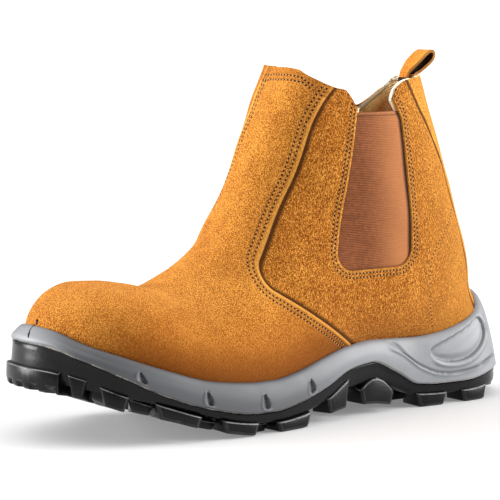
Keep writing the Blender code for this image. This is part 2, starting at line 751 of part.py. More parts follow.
def main():
    remove_all()
    parts = collection("ankle_boot", False)
    cutters = collection("ankle_boot_cutters", True)
    board_low = ("footbed", GAP)
    board_high = ("footbed", INSOLE_THICK + 1)
    items = [
        make_outsole(parts, cutters),
        make_midsole(parts, cutters),
        layer("insole", insole_half, board_low, board_high, parts, "insole_felt", 24),
        make_upper(parts, cutters),
        make_gore("gore_left", -90, -5, parts, cutters),
        make_gore("gore_right", 5, 90, parts, cutters),
        make_loop(parts),
    ]
    finish(items)
    for cutter in cutters.objects:
        cutter.display_type = "WIRE"
        cutter.hide_render = True


main()
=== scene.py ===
import math

import bmesh
import bpy
import numpy as np
from mathutils import Matrix, Vector
from mathutils.bvhtree import BVHTree


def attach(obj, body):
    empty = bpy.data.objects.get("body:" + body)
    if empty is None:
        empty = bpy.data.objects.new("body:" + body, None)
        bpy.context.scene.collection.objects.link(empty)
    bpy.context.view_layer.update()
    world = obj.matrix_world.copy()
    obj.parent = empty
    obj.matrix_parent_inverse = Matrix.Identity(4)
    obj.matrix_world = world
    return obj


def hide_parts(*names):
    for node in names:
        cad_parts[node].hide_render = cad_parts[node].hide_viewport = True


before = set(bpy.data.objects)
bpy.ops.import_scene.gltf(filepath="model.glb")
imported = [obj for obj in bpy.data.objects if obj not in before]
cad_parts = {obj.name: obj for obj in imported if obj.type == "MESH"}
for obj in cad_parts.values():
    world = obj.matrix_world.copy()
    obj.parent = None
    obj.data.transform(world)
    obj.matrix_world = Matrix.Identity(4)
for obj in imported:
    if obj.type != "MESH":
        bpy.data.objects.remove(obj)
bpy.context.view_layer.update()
mm = 0.001  # sizes below are in millimetres, meshes are scaled when they are finished


def between(a, b, slopeA, slopeB, step, u):
    # smooth way from a to b, with the slopes at its ends
    bend = u * (1 - u) ** 2 * slopeA - u * u * (1 - u) * slopeB
    return a * (1 + 2 * u) * (1 - u) ** 2 + b * u * u * (3 - 2 * u) + step * bend


def eased(keys, values, at):
    # smooth curve through a table, with no overshoot
    keys, values = np.asarray(keys, float), np.asarray(values, float)
    at = np.clip(np.asarray(at, float), keys[0], keys[-1])
    steps = np.diff(keys)
    slopes = np.diff(values) / steps
    tangents = np.concatenate(([slopes[0]], np.zeros(len(keys) - 2), [slopes[-1]]))
    for i in range(1, len(keys) - 1):
        if slopes[i - 1] * slopes[i] > 0:
            tangents[i] = 2 * slopes[i - 1] * slopes[i] / (slopes[i - 1] + slopes[i])
    k = np.clip(np.searchsorted(keys, at, side="right") - 1, 0, len(keys) - 2)
    u = (at - keys[k]) / steps[k]
    return between(values[k], values[k + 1], tangents[k], tangents[k + 1], steps[k], u)


def columns(names, rows):
    values = np.array(rows, float)
    return {name: values[:, i] for i, name in enumerate(names)}


def fade(low, high, at):
    u = np.clip((np.asarray(at, float) - low) / (high - low), 0, 1)
    return u * u * (3 - 2 * u)


def hump(at, middle, width):
    return np.exp(-((np.asarray(at, float) - middle) / width) ** 2)


def unit(vectors):
    return vectors / np.linalg.norm(vectors, axis=-1, keepdims=True)


def runLengths(points):
    # length of a line up to each of its points
    return np.concatenate(([0], np.cumsum(np.linalg.norm(np.diff(points, axis=0), axis=1))))


class Outline:
    # smooth flat line through points, such as the sole's edge, measured by its share of the length
    def __init__(self, points, start, end):
        points = np.array(points, float)
        chords = np.linalg.norm(np.diff(points, axis=0), axis=1)
        n = len(points)
        system, right = np.zeros((n, n)), np.zeros_like(points)
        system[0, 0] = system[-1, -1] = 1
        right[0], right[-1] = start, end
        for i in range(1, n - 1):
            a, b = chords[i - 1], chords[i]
            system[i, i - 1:i + 2] = (b, 2 * (a + b), a)
            right[i] = 3 * b * (points[i] - points[i - 1]) / a + 3 * a * (points[i + 1] - points[i]) / b
        slopes = np.linalg.solve(system, right)
        u = np.linspace(0, 1, 40, endpoint=False)[:, None]
        pieces = [between(*points[i:i + 2], *slopes[i:i + 2], chords[i], u) for i in range(n - 1)]
        self.dense = np.concatenate(pieces + [points[-1:]])
        self.reach = runLengths(self.dense)
        self.shares = self.reach / self.reach[-1]

    def spot(self, share):
        return np.stack([np.interp(share, self.shares, column) for column in self.dense.T], -1)

    def heading(self, share, step=0.004):
        return unit(self.spot(np.minimum(share + step, 1)) - self.spot(np.maximum(share - step, 0)))

    def shareAt(self, x):
        return np.interp(x, self.dense[:, 0], self.shares)


soleForm = {
    "lateral": [(-150.5, 7), (-146.5, -11), (-134, -29), (-113, -43), (-80, -51), (-45, -53), (-5, -48),
                (35, -40), (75, -38), (110, -39), (133, -33.5), (147, -19.5), (151.5, 0)],
    "medial": [(-150.5, 7), (-147.5, 23.5), (-135.5, 38.5), (-113, 48), (-85, 52.5), (-58, 52.5), (-20, 45),
               (20, 37), (60, 35), (110, 38), (133, 32.5), (147, 19), (151.5, 0)],
    "heights": columns(("x", "tread", "web", "joint", "core", "footbed", "feather", "inset"), [
        (-151, 28.0, 33.5, 51.0, 41.5, 46.0, 59.0, 10.0), (-146, 27.2, 33.0, 50.5, 40.0, 44.5, 57.5, 9.4),
        (-135, 25.2, 30.5, 45.0, 35.5, 40.0, 52.0, 7.4), (-117, 18.4, 25.6, 35.5, 29.0, 33.5, 45.5, 6.0),
        (-95, 12.6, 20.0, 24.5, 23.0, 27.5, 38.0, 5.6), (-70, 5.0, 12.5, 16.0, 16.0, 22.5, 30.6, 5.3),
        (-47, 0.6, 6.5, 11.5, 11.5, 20.0, 27.8, 5.2), (-42, 0.0, 6.0, 11.2, 11.2, 19.8, 27.5, 5.2),
        (-30, 0.0, 5.8, 11.0, 11.0, 19.6, 27.4, 5.2), (-12, 0.0, 7.0, 13.7, 13.0, 21.0, 29.8, 5.2),
        (7, 4.0, 11.0, 18.8, 17.0, 24.0, 34.3, 5.2), (27, 6.2, 16.0, 26.5, 21.5, 28.5, 38.6, 5.2),
        (43, 5.6, 17.0, 28.3, 22.5, 30.0, 40.0, 5.2), (61, 2.6, 12.0, 21.0, 18.5, 29.0, 39.4, 5.3),
        (76, 0.0, 6.5, 13.0, 13.0, 28.0, 38.8, 5.5), (90, 0.0, 5.8, 11.8, 11.8, 28.0, 39.8, 5.9),
        (110, 0.0, 5.8, 11.7, 11.7, 28.0, 43.6, 7.0), (133, 0.0, 6.2, 14.8, 13.0, 28.0, 51.0, 9.6),
        (143, 0.9, 7.0, 15.8, 13.5, 28.0, 56.0, 12.0), (151, 2.4, 8.0, 16.2, 13.8, 28.0, 59.5, 13.5)]),
    "gap": 0.3, "seamInset": 1.2, "coreInset": 7.6,
    "lip": 1.2, "drop": 1.4, "lean": (0.2, 2.9), "bulge": 0.9,  # midsole's wall: its ends, slope and belly
}
outlines = {"lateral": Outline(soleForm["lateral"], (0, -1), (0, 1)),
            "medial": Outline(soleForm["medial"], (0, 1), (0, -1))}
outward = {"lateral": -1, "medial": 1}


def soleAt(name, x):
    return eased(soleForm["heights"]["x"], soleForm["heights"][name], x)


def edgeSpot(side, share, inset):
    share = np.asarray(share, float)
    out = outward[side]
    ahead = outlines[side].heading(share)
    ahead = np.where((share <= 0)[..., None], (0.0, out), ahead)
    ahead = np.where((share >= 1)[..., None], (0.0, -out), ahead)
    across = out * np.stack([-ahead[..., 1], ahead[..., 0]], -1)
    return outlines[side].spot(share) - across * (np.asarray(inset) + 0 * share)[..., None]


def raised(flat, z):
    return np.concatenate([flat, (np.asarray(z) + 0 * flat[..., 0])[..., None]], -1)


def featherSpot(side, share, out=0.0, lift=0.0):
    # line where the upper leaves the sole
    x = outlines[side].spot(share)[..., 0]
    return raised(edgeSpot(side, share, soleAt("inset", x) - out), soleAt("feather", x) + lift)


def wallSpot(side, share, height, out=0.0):
    # side of the midsole, 0 at its lower lip and 1 at the shoulder of its rim
    x = outlines[side].spot(share)[..., 0]
    low, high = soleAt("joint", x) + soleForm["lip"], soleAt("feather", x) - soleForm["drop"]
    start, kept = soleForm["lean"]
    inset = start + (soleAt("inset", x) - kept) * height - soleForm["bulge"] * np.sin(np.pi * height)
    return raised(edgeSpot(side, share, inset - out), low + (high - low) * height)


def levelSpot(side, share, inset, name, lift):
    flat = edgeSpot(side, share, inset)
    return raised(flat, soleAt(name, flat[..., 0]) + lift)


lastForm = {
    "sections": columns(("ridgeX", "ridgeZ", "ridgeY", "base", "lateral", "medial", "boxy", "front"), [
        (-140.6, 59.0, 7.0, 0.000, 0, 0, 2.1, 1.00), (-136.8, 66.2, 7.0, 0.035, 0, 0, 2.1, 1.00),
        (-130.6, 72.3, 6.6, 0.068, 0, 0, 2.2, 1.00), (-123.4, 76.8, 6.0, 0.105, 0, 0, 2.3, 1.00),
        (-114.0, 79.2, 5.4, 0.145, 0, 0, 2.3, 1.00), (-102.0, 79.0, 4.6, 0.190, 0, 0, 2.3, 1.00),
        (-89.0, 77.0, 4.0, 0.240, 0, 0, 2.2, 1.00), (-76.0, 74.8, 3.0, 0.290, 0, 0, 2.1, 1.00),
        (-66.5, 77.0, 2.0, 0.335, 0, 0, 2.0, 1.00), (-56.0, 82.4, 1.5, 0.385, 0, 0, 2.0, 1.00),
        (-45.5, 91.2, 1.0, 0.450, 0, 0, 2.0, 1.00), (-35.5, 103.2, 0.5, 0.530, 44, 42, 2.0, 1.00),
        (-26.5, 117.2, 0.0, 0.640, 43, 41, 2.0, 1.00), (-20.8, 132.0, 0.0, 0.800, 42, 40, 2.1, 1.04),
        (-14.1, 148.0, 0.0, 1.000, 41, 39, 2.2, 1.10), (-7.1, 163.0, 0.0, 1.300, 38, 37, 2.25, 1.18),
        (0.4, 178.0, 0.0, 1.650, 34, 34, 2.3, 1.26), (10.4, 196.0, 0.0, 2.000, 31, 31, 2.3, 1.32)]),
    "backSeam": columns(("z", "x"), [(59.5, 137.9), (72, 136.8), (93, 130.6), (108, 125.2), (131, 118.2),
                                     (157, 109.6), (174, 103), (192, 97.2)]),
    "steps": (7, 7, 8, 9, 9, 9, 9, 9, 9, 9, 10, 12, 16, 22, 26, 26, 22),  # rows between the sections
    "parts": 84,  # columns from the ridge to the base, each side
    "slack": 1.03,  # the widest place stays this much wider than the base
    "soften": 0.5, "softRows": ((8, 11), (16, 17)), "firmBase": 10,  # blending of the rows, in sections
    "tail": (1.5, 4.0),  # what goes down inside the rim
}


def baseSpot(side, base):
    seam = lastForm["backSeam"]
    foot = featherSpot(side, np.minimum(base, 1))
    z = seam["z"][0] + (seam["z"][-1] - seam["z"][0]) * (base - 1)
    back = np.stack([eased(seam["z"], seam["x"], z), 0 * z, z], -1)
    return np.where((base <= 1)[:, None], foot, back)


def lastAt(name, rows):
    column = lastForm["sections"][name]
    return eased(np.arange(len(column)), column, rows)


def lastHalf(rows, parts, side):
    form = {name: lastAt(name, rows)[:, None] for name in lastForm["sections"]}
    base = baseSpot(side, form["base"][:, 0])
    reach = np.where(form["base"] < 1, np.abs(base[:, 1:2] - form["ridgeY"]), 0)
    width = np.maximum(np.maximum(form[side], reach * lastForm["slack"]), 1e-6)
    power = 2 / form["boxy"]
    full = np.pi - np.arcsin(np.minimum(1, (reach / width) ** (1 / power)))
    angle = parts[None, :] * full

    def bowed(value):
        return np.sign(value) * np.abs(value) ** power

    along = np.maximum((1 - bowed(np.cos(angle))) / (1 - bowed(np.cos(full))), 0) ** form["front"]
    x = form["ridgeX"] + (base[:, 0:1] - form["ridgeX"]) * along
    z = form["ridgeZ"] + (base[:, 2:3] - form["ridgeZ"]) * along
    y = form["ridgeY"] + outward[side] * width * np.maximum(np.sin(angle), 0) ** power
    spots = np.stack([x, y, z], -1)
    spots[:, -1] = base
    near = np.exp(-((rows[:, None] - rows[None, :]) / lastForm["soften"]) ** 2) * np.gradient(rows)[None, :]
    near /= near.sum(1, keepdims=True)
    blended = np.einsum("ij,jkl->ikl", near, spots)
    start, end = (fade(*limits, rows)[:, None, None] for limits in lastForm["softRows"])
    return spots + (blended - spots) * start * (1 - end) * (1 - parts[None, :, None] ** lastForm["firmBase"])


def makeLast():
    # whole surface of the last: lateral base, over the ridge, to the medial base
    steps = lastForm["steps"]
    rows = np.concatenate([i + np.arange(n) / n for i, n in enumerate(steps)] + [[len(steps)]])
    parts = np.linspace(0, 1, lastForm["parts"])
    halves = {side: lastHalf(rows, parts, side) for side in outlines}
    spots = np.concatenate([halves["lateral"][:, ::-1], halves["medial"][:, 1:]], 1)
    sides = np.repeat((-1.0, 1.0), (len(parts), len(parts) - 1))
    normals = np.cross(np.gradient(spots, axis=0), np.gradient(spots, axis=1))
    normals *= np.sign(normals[len(rows) // 3, len(parts) - 1, 2])  # up on the crest of the instep
    length = np.linalg.norm(normals, axis=-1, keepdims=True)
    normals = np.where(length > 1e-9, normals / np.maximum(length, 1e-9), (-1.0, 0.0, 0.0))
    base = lastAt("base", rows)
    for end in (0, -1):
        normals[base >= 1, end, 1] = 0
    normals = unit(normals)
    for drop in lastForm["tail"]:  # straight down inside the rim, only along the feather line
        tails = []
        for side, end in (("lateral", 0), ("medial", -1)):
            foot = featherSpot(side, np.minimum(base, 1)) - (0, 0, drop)
            tails.append(np.where((base <= 1)[:, None], foot, spots[:, end])[:, None])
        spots = np.concatenate([tails[0], spots, tails[1]], 1)
    added = len(lastForm["tail"])
    normals = np.pad(normals, ((0, 0), (added, added), (0, 0)), "edge")
    real = np.ones(spots.shape[:2], bool)
    for ends in (slice(None, added), slice(-added, None)):
        real[base > 1, ends] = False
    return {"spots": spots, "normals": normals, "sides": np.pad(sides, added, "edge"), "real": real}


last = makeLast()
print("last", last["spots"].shape)


def rounded(corners, steps=12):
    # closed outline through corners, each with its own radius
    outline = []
    for i, (x, z, radius) in enumerate(corners):
        here = Vector((x, z))
        if radius == 0:
            outline.append(here)
            continue
        back = (Vector(corners[i - 1][:2]) - here).normalized()
        onward = (Vector(corners[(i + 1) % len(corners)][:2]) - here).normalized()
        half = back.angle(onward) / 2
        centre = here + (back + onward).normalized() * radius / math.sin(half)
        start = here + back * radius / math.tan(half) - centre
        turn = start.angle_signed(here + onward * radius / math.tan(half) - centre)
        for k in range(steps + 1):
            outline.append(centre + Matrix.Rotation(-turn * k / steps, 2) @ start)
    return np.array(outline)


def flatDistance(outline, x, z):
    # distance to a closed outline seen from the side, negative inside
    p = np.stack([x, z], -1)[:, None, :]
    a, b = outline[None], np.roll(outline, -1, 0)[None]
    ab = b - a
    t = np.clip(((p - a) * ab).sum(-1) / np.maximum((ab * ab).sum(-1), 1e-12), 0, 1)
    near = np.linalg.norm(p - a - t[..., None] * ab, axis=-1).min(1)
    span = (a[..., 1] > p[..., 1]) != (b[..., 1] > p[..., 1])
    rise = np.where(np.abs(ab[..., 1]) < 1e-9, 1e-9, ab[..., 1])
    left = p[..., 0] < a[..., 0] + ab[..., 0] * (p[..., 1] - a[..., 1]) / rise
    return np.where((span & left).sum(1) % 2 == 1, -near, near)


panelLines = {
    "lateral": columns(("x", "z"), [
        (-30, 189), (3, 188.8), (5.3, 188.3), (7.7, 187), (8.3, 186.6), (8.9, 185.2), (14.6, 181),
        (20.1, 178.3), (24.7, 177), (28.7, 176.3), (32.2, 172.5), (35.7, 166.5), (40, 165.5), (57, 165),
        (59.5, 166), (61, 169.5), (62.8, 173.5), (66, 177), (71, 179.6), (77, 181), (84, 181.7), (90, 182),
        (98, 182.5), (130, 183)]),
    "medial": columns(("x", "z"), [
        (-30, 188.2), (5.3, 188.3), (8.5, 189), (21, 187.6), (29, 180), (36, 171), (40, 167), (57, 164),
        (76, 164), (82, 165), (87, 168.5), (92, 173.5), (97, 178.5), (100, 181.8), (130, 183)]),
    # corners seen from the side, each with its radius
    "gore": [(46, 208, 0), (15, 80, 9), (69, 80, 11), (67.6, 145, 40), (66.8, 160, 0), (60.5, 172, 0),
             (56, 208, 0)],
    "goreTop": 164.0,
    "vamp": {
        "lateral": [(53.7, 210, 0), (10.5, 166, 70), (-3.2, 129, 80)],
        "medial": [(23.7, 210, 0), (-15.5, 130, 60)],
        "foot": [(-32.6, 78.5, 12), (34, 36.5, 0), (180, 36.5, 0), (180, 210, 0)],
    },
    # the inner seam up the shin, how far back it counts and where it takes over from the corners
    "front": columns(("z", "y"), [(90, 30), (112, 20), (130, 13), (145, 10.2), (162, 9.2), (190, 10)]),
    "frontEnd": 40.0, "frontFrom": (112, 134),
    "strip": columns(("z", "x"), [(30, 129), (60, 123.5), (82, 117.5), (107, 110), (132, 101.8), (157, 87.2),
                                  (164, 82.4), (210, 54)]),
}
vampOutlines = {side: rounded(panelLines["vamp"][side] + panelLines["vamp"]["foot"]) for side in outlines}
goreOutline = rounded(panelLines["gore"])


def seamLevel(x, y, z, side):  # positive on the vamp, distance from its edge
    front = panelLines["front"]
    shin = np.minimum(eased(front["z"], front["y"], z) - y, panelLines["frontEnd"] - x)
    inner = flatDistance(vampOutlines["medial"], x, z)
    inner = inner + (shin - inner) * fade(*panelLines["frontFrom"], z)
    return np.where(side < 0, flatDistance(vampOutlines["lateral"], x, z), inner)


def goreLevel(x, y, z, side):  # positive outside the side cut-out
    return flatDistance(goreOutline, x, z)


def collarLevel(x, y, z, side):  # positive under the collar's edge
    heights = {name: eased(panelLines[name]["x"], panelLines[name]["z"], x) for name in outlines}
    return np.where(side < 0, heights["lateral"], heights["medial"]) - z


def stripLevel(x, y, z, side):  # positive in front of the back strip
    return eased(panelLines["strip"]["z"], panelLines["strip"]["x"], z) - x


def footLevel(x, y, z, side):  # height above the sole's line
    return z - soleAt("feather", x)


creases = {  # soft troughs and ridges across the vamp: place along it, width, height, reach down the sides
    "flex": (-73, 9, -0.9, 34), "fold": (-58, 5, 0.7, 30), "instep": (-38, 5, -1.0, 26),
    "roll": (-29, 6, 0.8, 24),
}
bowing = {"middle": 2, "curve": 0.012, "turn": -50, "above": (60, 74)}  # creases curve apart from one place
waves = {"height": 0.25, "above": (45, 70)}  # slight unevenness of the leather


def relief(spots):
    # how far the leather stands out of the last
    x, y, z = spots[..., 0], spots[..., 1], spots[..., 2]
    lift = np.zeros(x.shape)
    for middle, width, depth, reach in creases.values():
        bend = middle + bowing["curve"] * (y - bowing["middle"]) ** 2 * np.sign(middle - bowing["turn"])
        lift += depth * hump(x, bend, width) * hump(y, bowing["middle"], reach) * fade(*bowing["above"], z)
    uneven = np.sin(x * 0.19 + y * 0.11) * np.sin(z * 0.16 - y * 0.07)
    return lift + waves["height"] * uneven * fade(*waves["above"], z)


def gridMesh(spots):
    # grid laid over rows of points, with the row and column of each vertex
    rows, across = spots.shape[:2]
    bm = bmesh.new()
    bmesh.ops.create_grid(bm, x_segments=across - 1, y_segments=rows - 1, size=1)
    flat = np.array([v.co[:2] for v in bm.verts])
    i = np.rint((flat[:, 1] + 1) / 2 * (rows - 1)).astype(int)
    j = np.rint((flat[:, 0] + 1) / 2 * (across - 1)).astype(int)
    for vert, spot in zip(bm.verts, spots[i, j]):
        vert.co = spot
    return bm, i, j


flatNames = ("flatX", "flatY", "flatZ", "flatSide")


def readLayers(bm, names):
    layers = [bm.verts.layers.float[name] for name in names]
    return np.array([[v[layer] for layer in layers] for v in bm.verts]).T


def writeLayer(bm, name, values):
    layers = bm.verts.layers.float
    layer = layers[name] if name in layers.keys() else layers.new(name)
    for vert, value in zip(bm.verts, values):
        vert[layer] = value
    return layer


def trim(bm, keep):
    # cuts the mesh along the line where keep is zero and drops what lies below it
    values = keep(*readLayers(bm, flatNames))
    level = writeLayer(bm, "level", np.where(np.abs(values) < 1e-3, 1e-3, values))
    layers = [bm.verts.layers.float[name] for name in flatNames]
    fresh = []
    for edge in [e for e in bm.edges if (e.verts[0][level] > 0) != (e.verts[1][level] > 0)]:
        a, b = edge.verts
        share = a[level] / (a[level] - b[level])
        flat = [a[layer] + (b[layer] - a[layer]) * share for layer in layers]
        made = bmesh.utils.edge_split(edge, a, share)[1]
        for layer, value in zip(layers, flat):
            made[layer] = value
        made[level] = 0
        fresh.append(made)
    bmesh.ops.connect_verts(bm, verts=fresh)
    spare = [f for f in bm.faces if min(v[level] for v in f.verts) < 0]
    bmesh.ops.delete(bm, geom=spare, context="FACES")


panelForm = {"margin": 3, "merge": 0.02, "sliver": 0.005, "inside": (0, 0, 90)}


def leatherPanel(cuts, sink, marks):
    # piece of the last's surface, cut to its pattern
    spots = last["spots"] + last["normals"] * (relief(last["spots"]) - sink)[..., None]
    bm, i, j = gridMesh(spots)
    flat = np.vstack([last["spots"][i, j].T, last["sides"][j]])
    for name, values in zip(flatNames, flat):
        writeLayer(bm, name, values)
    gone = ~last["real"][i, j]
    low = np.max([-keep(*flat) for keep in cuts], axis=0)
    spare = []
    for face in bm.faces:
        corners = [v.index for v in face.verts]
        if gone[corners].any() or low[corners].min() > panelForm["margin"]:
            spare.append(face)
    bmesh.ops.delete(bm, geom=spare, context="FACES")
    for keep in cuts:
        trim(bm, keep)
    bmesh.ops.remove_doubles(bm, verts=bm.verts, dist=panelForm["merge"])
    bmesh.ops.dissolve_degenerate(bm, edges=bm.edges, dist=panelForm["sliver"])
    for name, rule in marks.items():
        writeLayer(bm, name, rule(*readLayers(bm, flatNames)))
    for name in flatNames + ("level",):
        bm.verts.layers.float.remove(bm.verts.layers.float[name])
    bmesh.ops.recalc_face_normals(bm, faces=bm.faces)
    bm.normal_update()
    middle = Vector(panelForm["inside"])
    if sum((f.calc_center_median() - middle).dot(f.normal) for f in bm.faces) < 0:
        bmesh.ops.reverse_faces(bm, faces=bm.faces)
        bm.normal_update()
    return bm


def linked(name, data):
    made = bpy.data.objects.new(name, data)
    bpy.context.scene.collection.objects.link(made)
    return made


def place(name, bm, looks, nodes=(), wall=0.0, sharp=35, side=-1, tidy=False):
    # finished piece in metres, riding on the boot
    # looks are the finishes of its face, of its back if that has its own, and of its rim
    if tidy:
        bmesh.ops.remove_doubles(bm, verts=bm.verts, dist=0.005)
        bmesh.ops.recalc_face_normals(bm, faces=bm.faces)
    bmesh.ops.scale(bm, vec=(mm, mm, mm), verts=bm.verts)
    mesh = bpy.data.meshes.new(name)
    bm.to_mesh(mesh)
    bm.free()
    made = linked(name, mesh)
    for look in looks:
        mesh.materials.append(finishes[look])
    if wall:
        shell = made.modifiers.new("wall", "SOLIDIFY")
        shell.thickness = wall * mm
        shell.offset = side
        shell.material_offset = len(looks) // 3
        shell.material_offset_rim = len(looks) - 1
        bpy.context.view_layer.update()
        walled = bpy.data.meshes.new_from_object(made.evaluated_get(bpy.context.evaluated_depsgraph_get()))
        made.modifiers.clear()
        made.data = walled
    made.data.shade_smooth()
    made.data.set_sharp_from_angle(angle=math.radians(sharp))
    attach(made, "root")
    if nodes:
        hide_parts(*nodes)
    print("piece", name, sum(len(p.vertices) - 2 for p in made.data.polygons))


class Value:
    # a socket that sums can be written with
    def __init__(self, finish, socket):
        self.finish, self.socket = finish, socket

    def math(self, operation, *others):
        sockets = dict(enumerate((self,) + others))
        return self.finish.value("ShaderNodeMath", {"operation": operation}, sockets)

    def __add__(self, other):
        return self.math("ADD", other)

    __radd__ = __add__

    def __sub__(self, other):
        return self.math("SUBTRACT", other)

    def __rsub__(self, other):
        return self.finish.value("ShaderNodeMath", {"operation": "SUBTRACT"}, {0: other, 1: self})

    def __mul__(self, other):
        return self.math("MULTIPLY", other)

    __rmul__ = __mul__

    def __truediv__(self, other):
        return self.math("DIVIDE", other)

    def __pow__(self, other):
        return self.math("POWER", other)

    def near(self, middle, width):  # 1 at the middle, 0 from the width on
        return 1 - ((self - middle).math("ABSOLUTE") / width).math("MINIMUM", 1.0)

    def spread(self, low, high):  # soft step from low to high
        return self.finish.value("ShaderNodeMapRange", {"interpolation_type": "SMOOTHSTEP"},
                                 {"Value": self, "From Min": low, "From Max": high})


def rgba(colour):
    return (*colour, 1)


class Finish:
    def __init__(self, name, fixed):
        self.material = bpy.data.materials.new(name)
        self.material.use_nodes = True
        self.tree = self.material.node_tree
        self.shader = self.tree.nodes["Principled BSDF"]
        for key, value in fixed.items():
            self.shader.inputs[key].default_value = value
        self.coords = self.node("ShaderNodeTexCoord", {}, {}).outputs["Object"]

    def node(self, kind, settings, sockets):
        made = self.tree.nodes.new(kind)
        for key, value in settings.items():
            if key == "stops":
                elements = made.color_ramp.elements
                for end in (0, -1):
                    elements[end].position, elements[end].color = value[end][0], rgba(value[end][1])
                for spot, colour in value[1:-1]:
                    elements.new(spot).color = rgba(colour)
            else:
                setattr(made, key, value)
        for key, value in sockets.items():
            source = value.socket if isinstance(value, Value) else value
            if isinstance(source, bpy.types.NodeSocket):
                self.tree.links.new(source, made.inputs[key])
            else:
                made.inputs[key].default_value = source
        return made

    def value(self, kind, settings, sockets, output=0):
        return Value(self, self.node(kind, settings, sockets).outputs[output])

    def stretched(self, scale, turn=(0, 0, 0)):
        sockets = {"Vector": self.coords, "Scale": scale, "Rotation": turn}
        return self.node("ShaderNodeMapping", {}, sockets).outputs[0]

    def noise(self, scale, detail=3.0, rough=0.55, along=None):
        sockets = {"Vector": along or self.coords, "Scale": scale, "Detail": detail, "Roughness": rough}
        return self.value("ShaderNodeTexNoise", {}, sockets)

    def mark(self, name):
        return self.value("ShaderNodeAttribute", {"attribute_name": name}, {}, "Fac")

    def axis(self, name):
        return self.value("ShaderNodeSeparateXYZ", {}, {0: self.coords}, name)

    def mix(self, share, colour, tone):
        return self.value("ShaderNodeMix", {"data_type": "RGBA"}, {0: share, 6: colour, 7: rgba(tone)}, 2)

    def ramp(self, share, stops):
        return self.value("ShaderNodeValToRGB", {"stops": stops}, {"Fac": share})

    def feed(self, name, value):
        self.tree.links.new(value.socket, self.shader.inputs[name])

    def bump(self, height, depth, strength=1.0):
        made = self.node("ShaderNodeBump", {}, {"Height": height, "Distance": depth, "Strength": strength})
        self.tree.links.new(made.outputs[0], self.shader.inputs["Normal"])


suedeTones = {
    "dark": (0.195, 0.047, 0.004), "deep": (0.37, 0.098, 0.008), "middle": (0.63, 0.208, 0.019),
    "light": (0.95, 0.440, 0.078), "raw": (0.80, 0.47, 0.17), "shade": (0.075, 0.022, 0.005),
}
sewnRows = {"seam": (2.6, 4.9), "gore": (1.9, 4.0), "hem": (4.7, 7.4)}  # how far each row lies from its edge
suedeForms = {
    # tones: darkest and lightest nap; seam: mark, rows, the painted shade of their furrows, the edge's
    # paleness; hem: mark, rows
    # shadow: mark, where it starts to fade and ends; foot, painted shade near the sole: mark, share, reach;
    # painted light towards the heel: from x, to x, share
    "vampSuede": {"tones": (-0.115, 0.100), "rough": 1.45, "nap": 1.2, "hem": ("topDist", "hem"),
                  "seam": ("seamDist", "seam", 0.55, 0.7), "foot": ("footDist", 0.74, 1.35)},
    "quarterSuede": {"tones": (-0.110, 0.165), "rough": 1.75, "seam": ("goreDist", "gore", 0.75, 0.25),
                     "shadow": ("underDist", 1.2, 3.0), "foot": ("footDist", 0.2, 1.0),
                     "paintedHeelLight": (0.06, 0.125, 0.3)},
    "stripSuede": {"tones": (-0.125, 0.09), "rough": 1.4, "shadow": ("underDist", 3.3, 4.9),
                   "foot": ("footDist", 0.2, 1.0), "paintedHeelLight": (0.06, 0.125, 0.3)},
    "loopSuede": {"tones": (-0.14, 0.13), "rough": 0.8},
}


def furrows(far, name):
    first, second = (far.near(row, 1.0) ** 2.0 for row in sewnRows[name])
    return first + second


def makeSuede(name, tones, rough, nap=1.0, seam=None, hem=None, shadow=None, foot=None, paintedHeelLight=None):
    # napped leather: specks, brushed patches, furrows along the sewn rows with painted shade in them; painted
    # shade near the sole and under edges, painted light towards the heel
    f = Finish(name, {"Roughness": 0.95, "Specular IOR Level": 0.08, "Sheen Weight": 0.09,
                      "Sheen Roughness": 0.5, "Sheen Tint": (1.0, 0.76, 0.42, 1)})
    speck = f.noise(1700 * nap, 2, 0.6)
    fine = f.noise(3200 * nap, 2, 0.6)
    fibre = f.noise(1150 * nap, 2, 0.6, f.stretched((1.9, 1.9, 0.55), (0, 0.9, 0.3)))
    patch = f.noise(120, 3, 0.55, f.stretched((1, 1, 0.6), (0, 0.5, 0)))
    broad = f.noise(26, 2)
    tone = (speck * 0.34 + fine * 0.30 + fibre * 0.36) * rough + patch * 0.08 + broad * 0.12
    middle = rough * 0.5 + 0.10
    share = (tone - middle).spread(*tones)
    colour = f.ramp(share, [(0.0, suedeTones["dark"]), (0.26, suedeTones["deep"]),
                            (0.58, suedeTones["middle"]), (1.0, suedeTones["light"])])
    height = (speck * 0.5 + fine * 0.25 + fibre * 0.35) * rough + patch * 0.3
    if foot:
        far = f.mark(foot[0]) / foot[2]
        soleShade = f.axis("X").spread(-0.142, -0.096) * foot[1]  # painted shade near the sole, kept off the toe's tip
        # painted shade: deeper and darker tones towards the sole, where less light reaches
        colour = f.mix((1 - far.spread(1.0, 36.0)) * soleShade, colour, suedeTones["deep"])
        colour = f.mix((1 - far.spread(0.0, 17.0)) * soleShade, colour, suedeTones["dark"])
    if seam:
        far = f.mark(seam[0])
        rows = furrows(far, seam[1])
        # painted shade darkening the furrows of the sewn rows
        colour = f.mix(rows * seam[2], colour, suedeTones["dark"])
        colour = f.mix(far.near(0.5, 1.4) * seam[3], colour, suedeTones["light"])
        height = height - rows * 0.9 - far.near(0.0, 1.2) ** 2.0 * 1.2
    if hem:
        far = f.mark(hem[0])
        rows = furrows(far, hem[1])
        # painted shade darkening the furrows of the sewn rows
        colour = f.mix(rows * 0.35, colour, suedeTones["dark"])
        colour = f.mix((1 - far.spread(7.0, 9.0)) * 0.35, colour, suedeTones["deep"])
        height = height - rows * 0.9
    if paintedHeelLight:
        # painted light: paler towards the heel, as lit from the right
        colour = f.mix(f.axis("X").spread(*paintedHeelLight[:2]) * paintedHeelLight[2], colour, suedeTones["light"])
    if shadow:
        far = f.mark(shadow[0])
        colour = f.mix((1 - far.spread(*shadow[1:])) * 0.92, colour, suedeTones["shade"])
    f.feed("Base Color", colour)
    f.bump(height, 0.0011, 0.9)
    return f.material


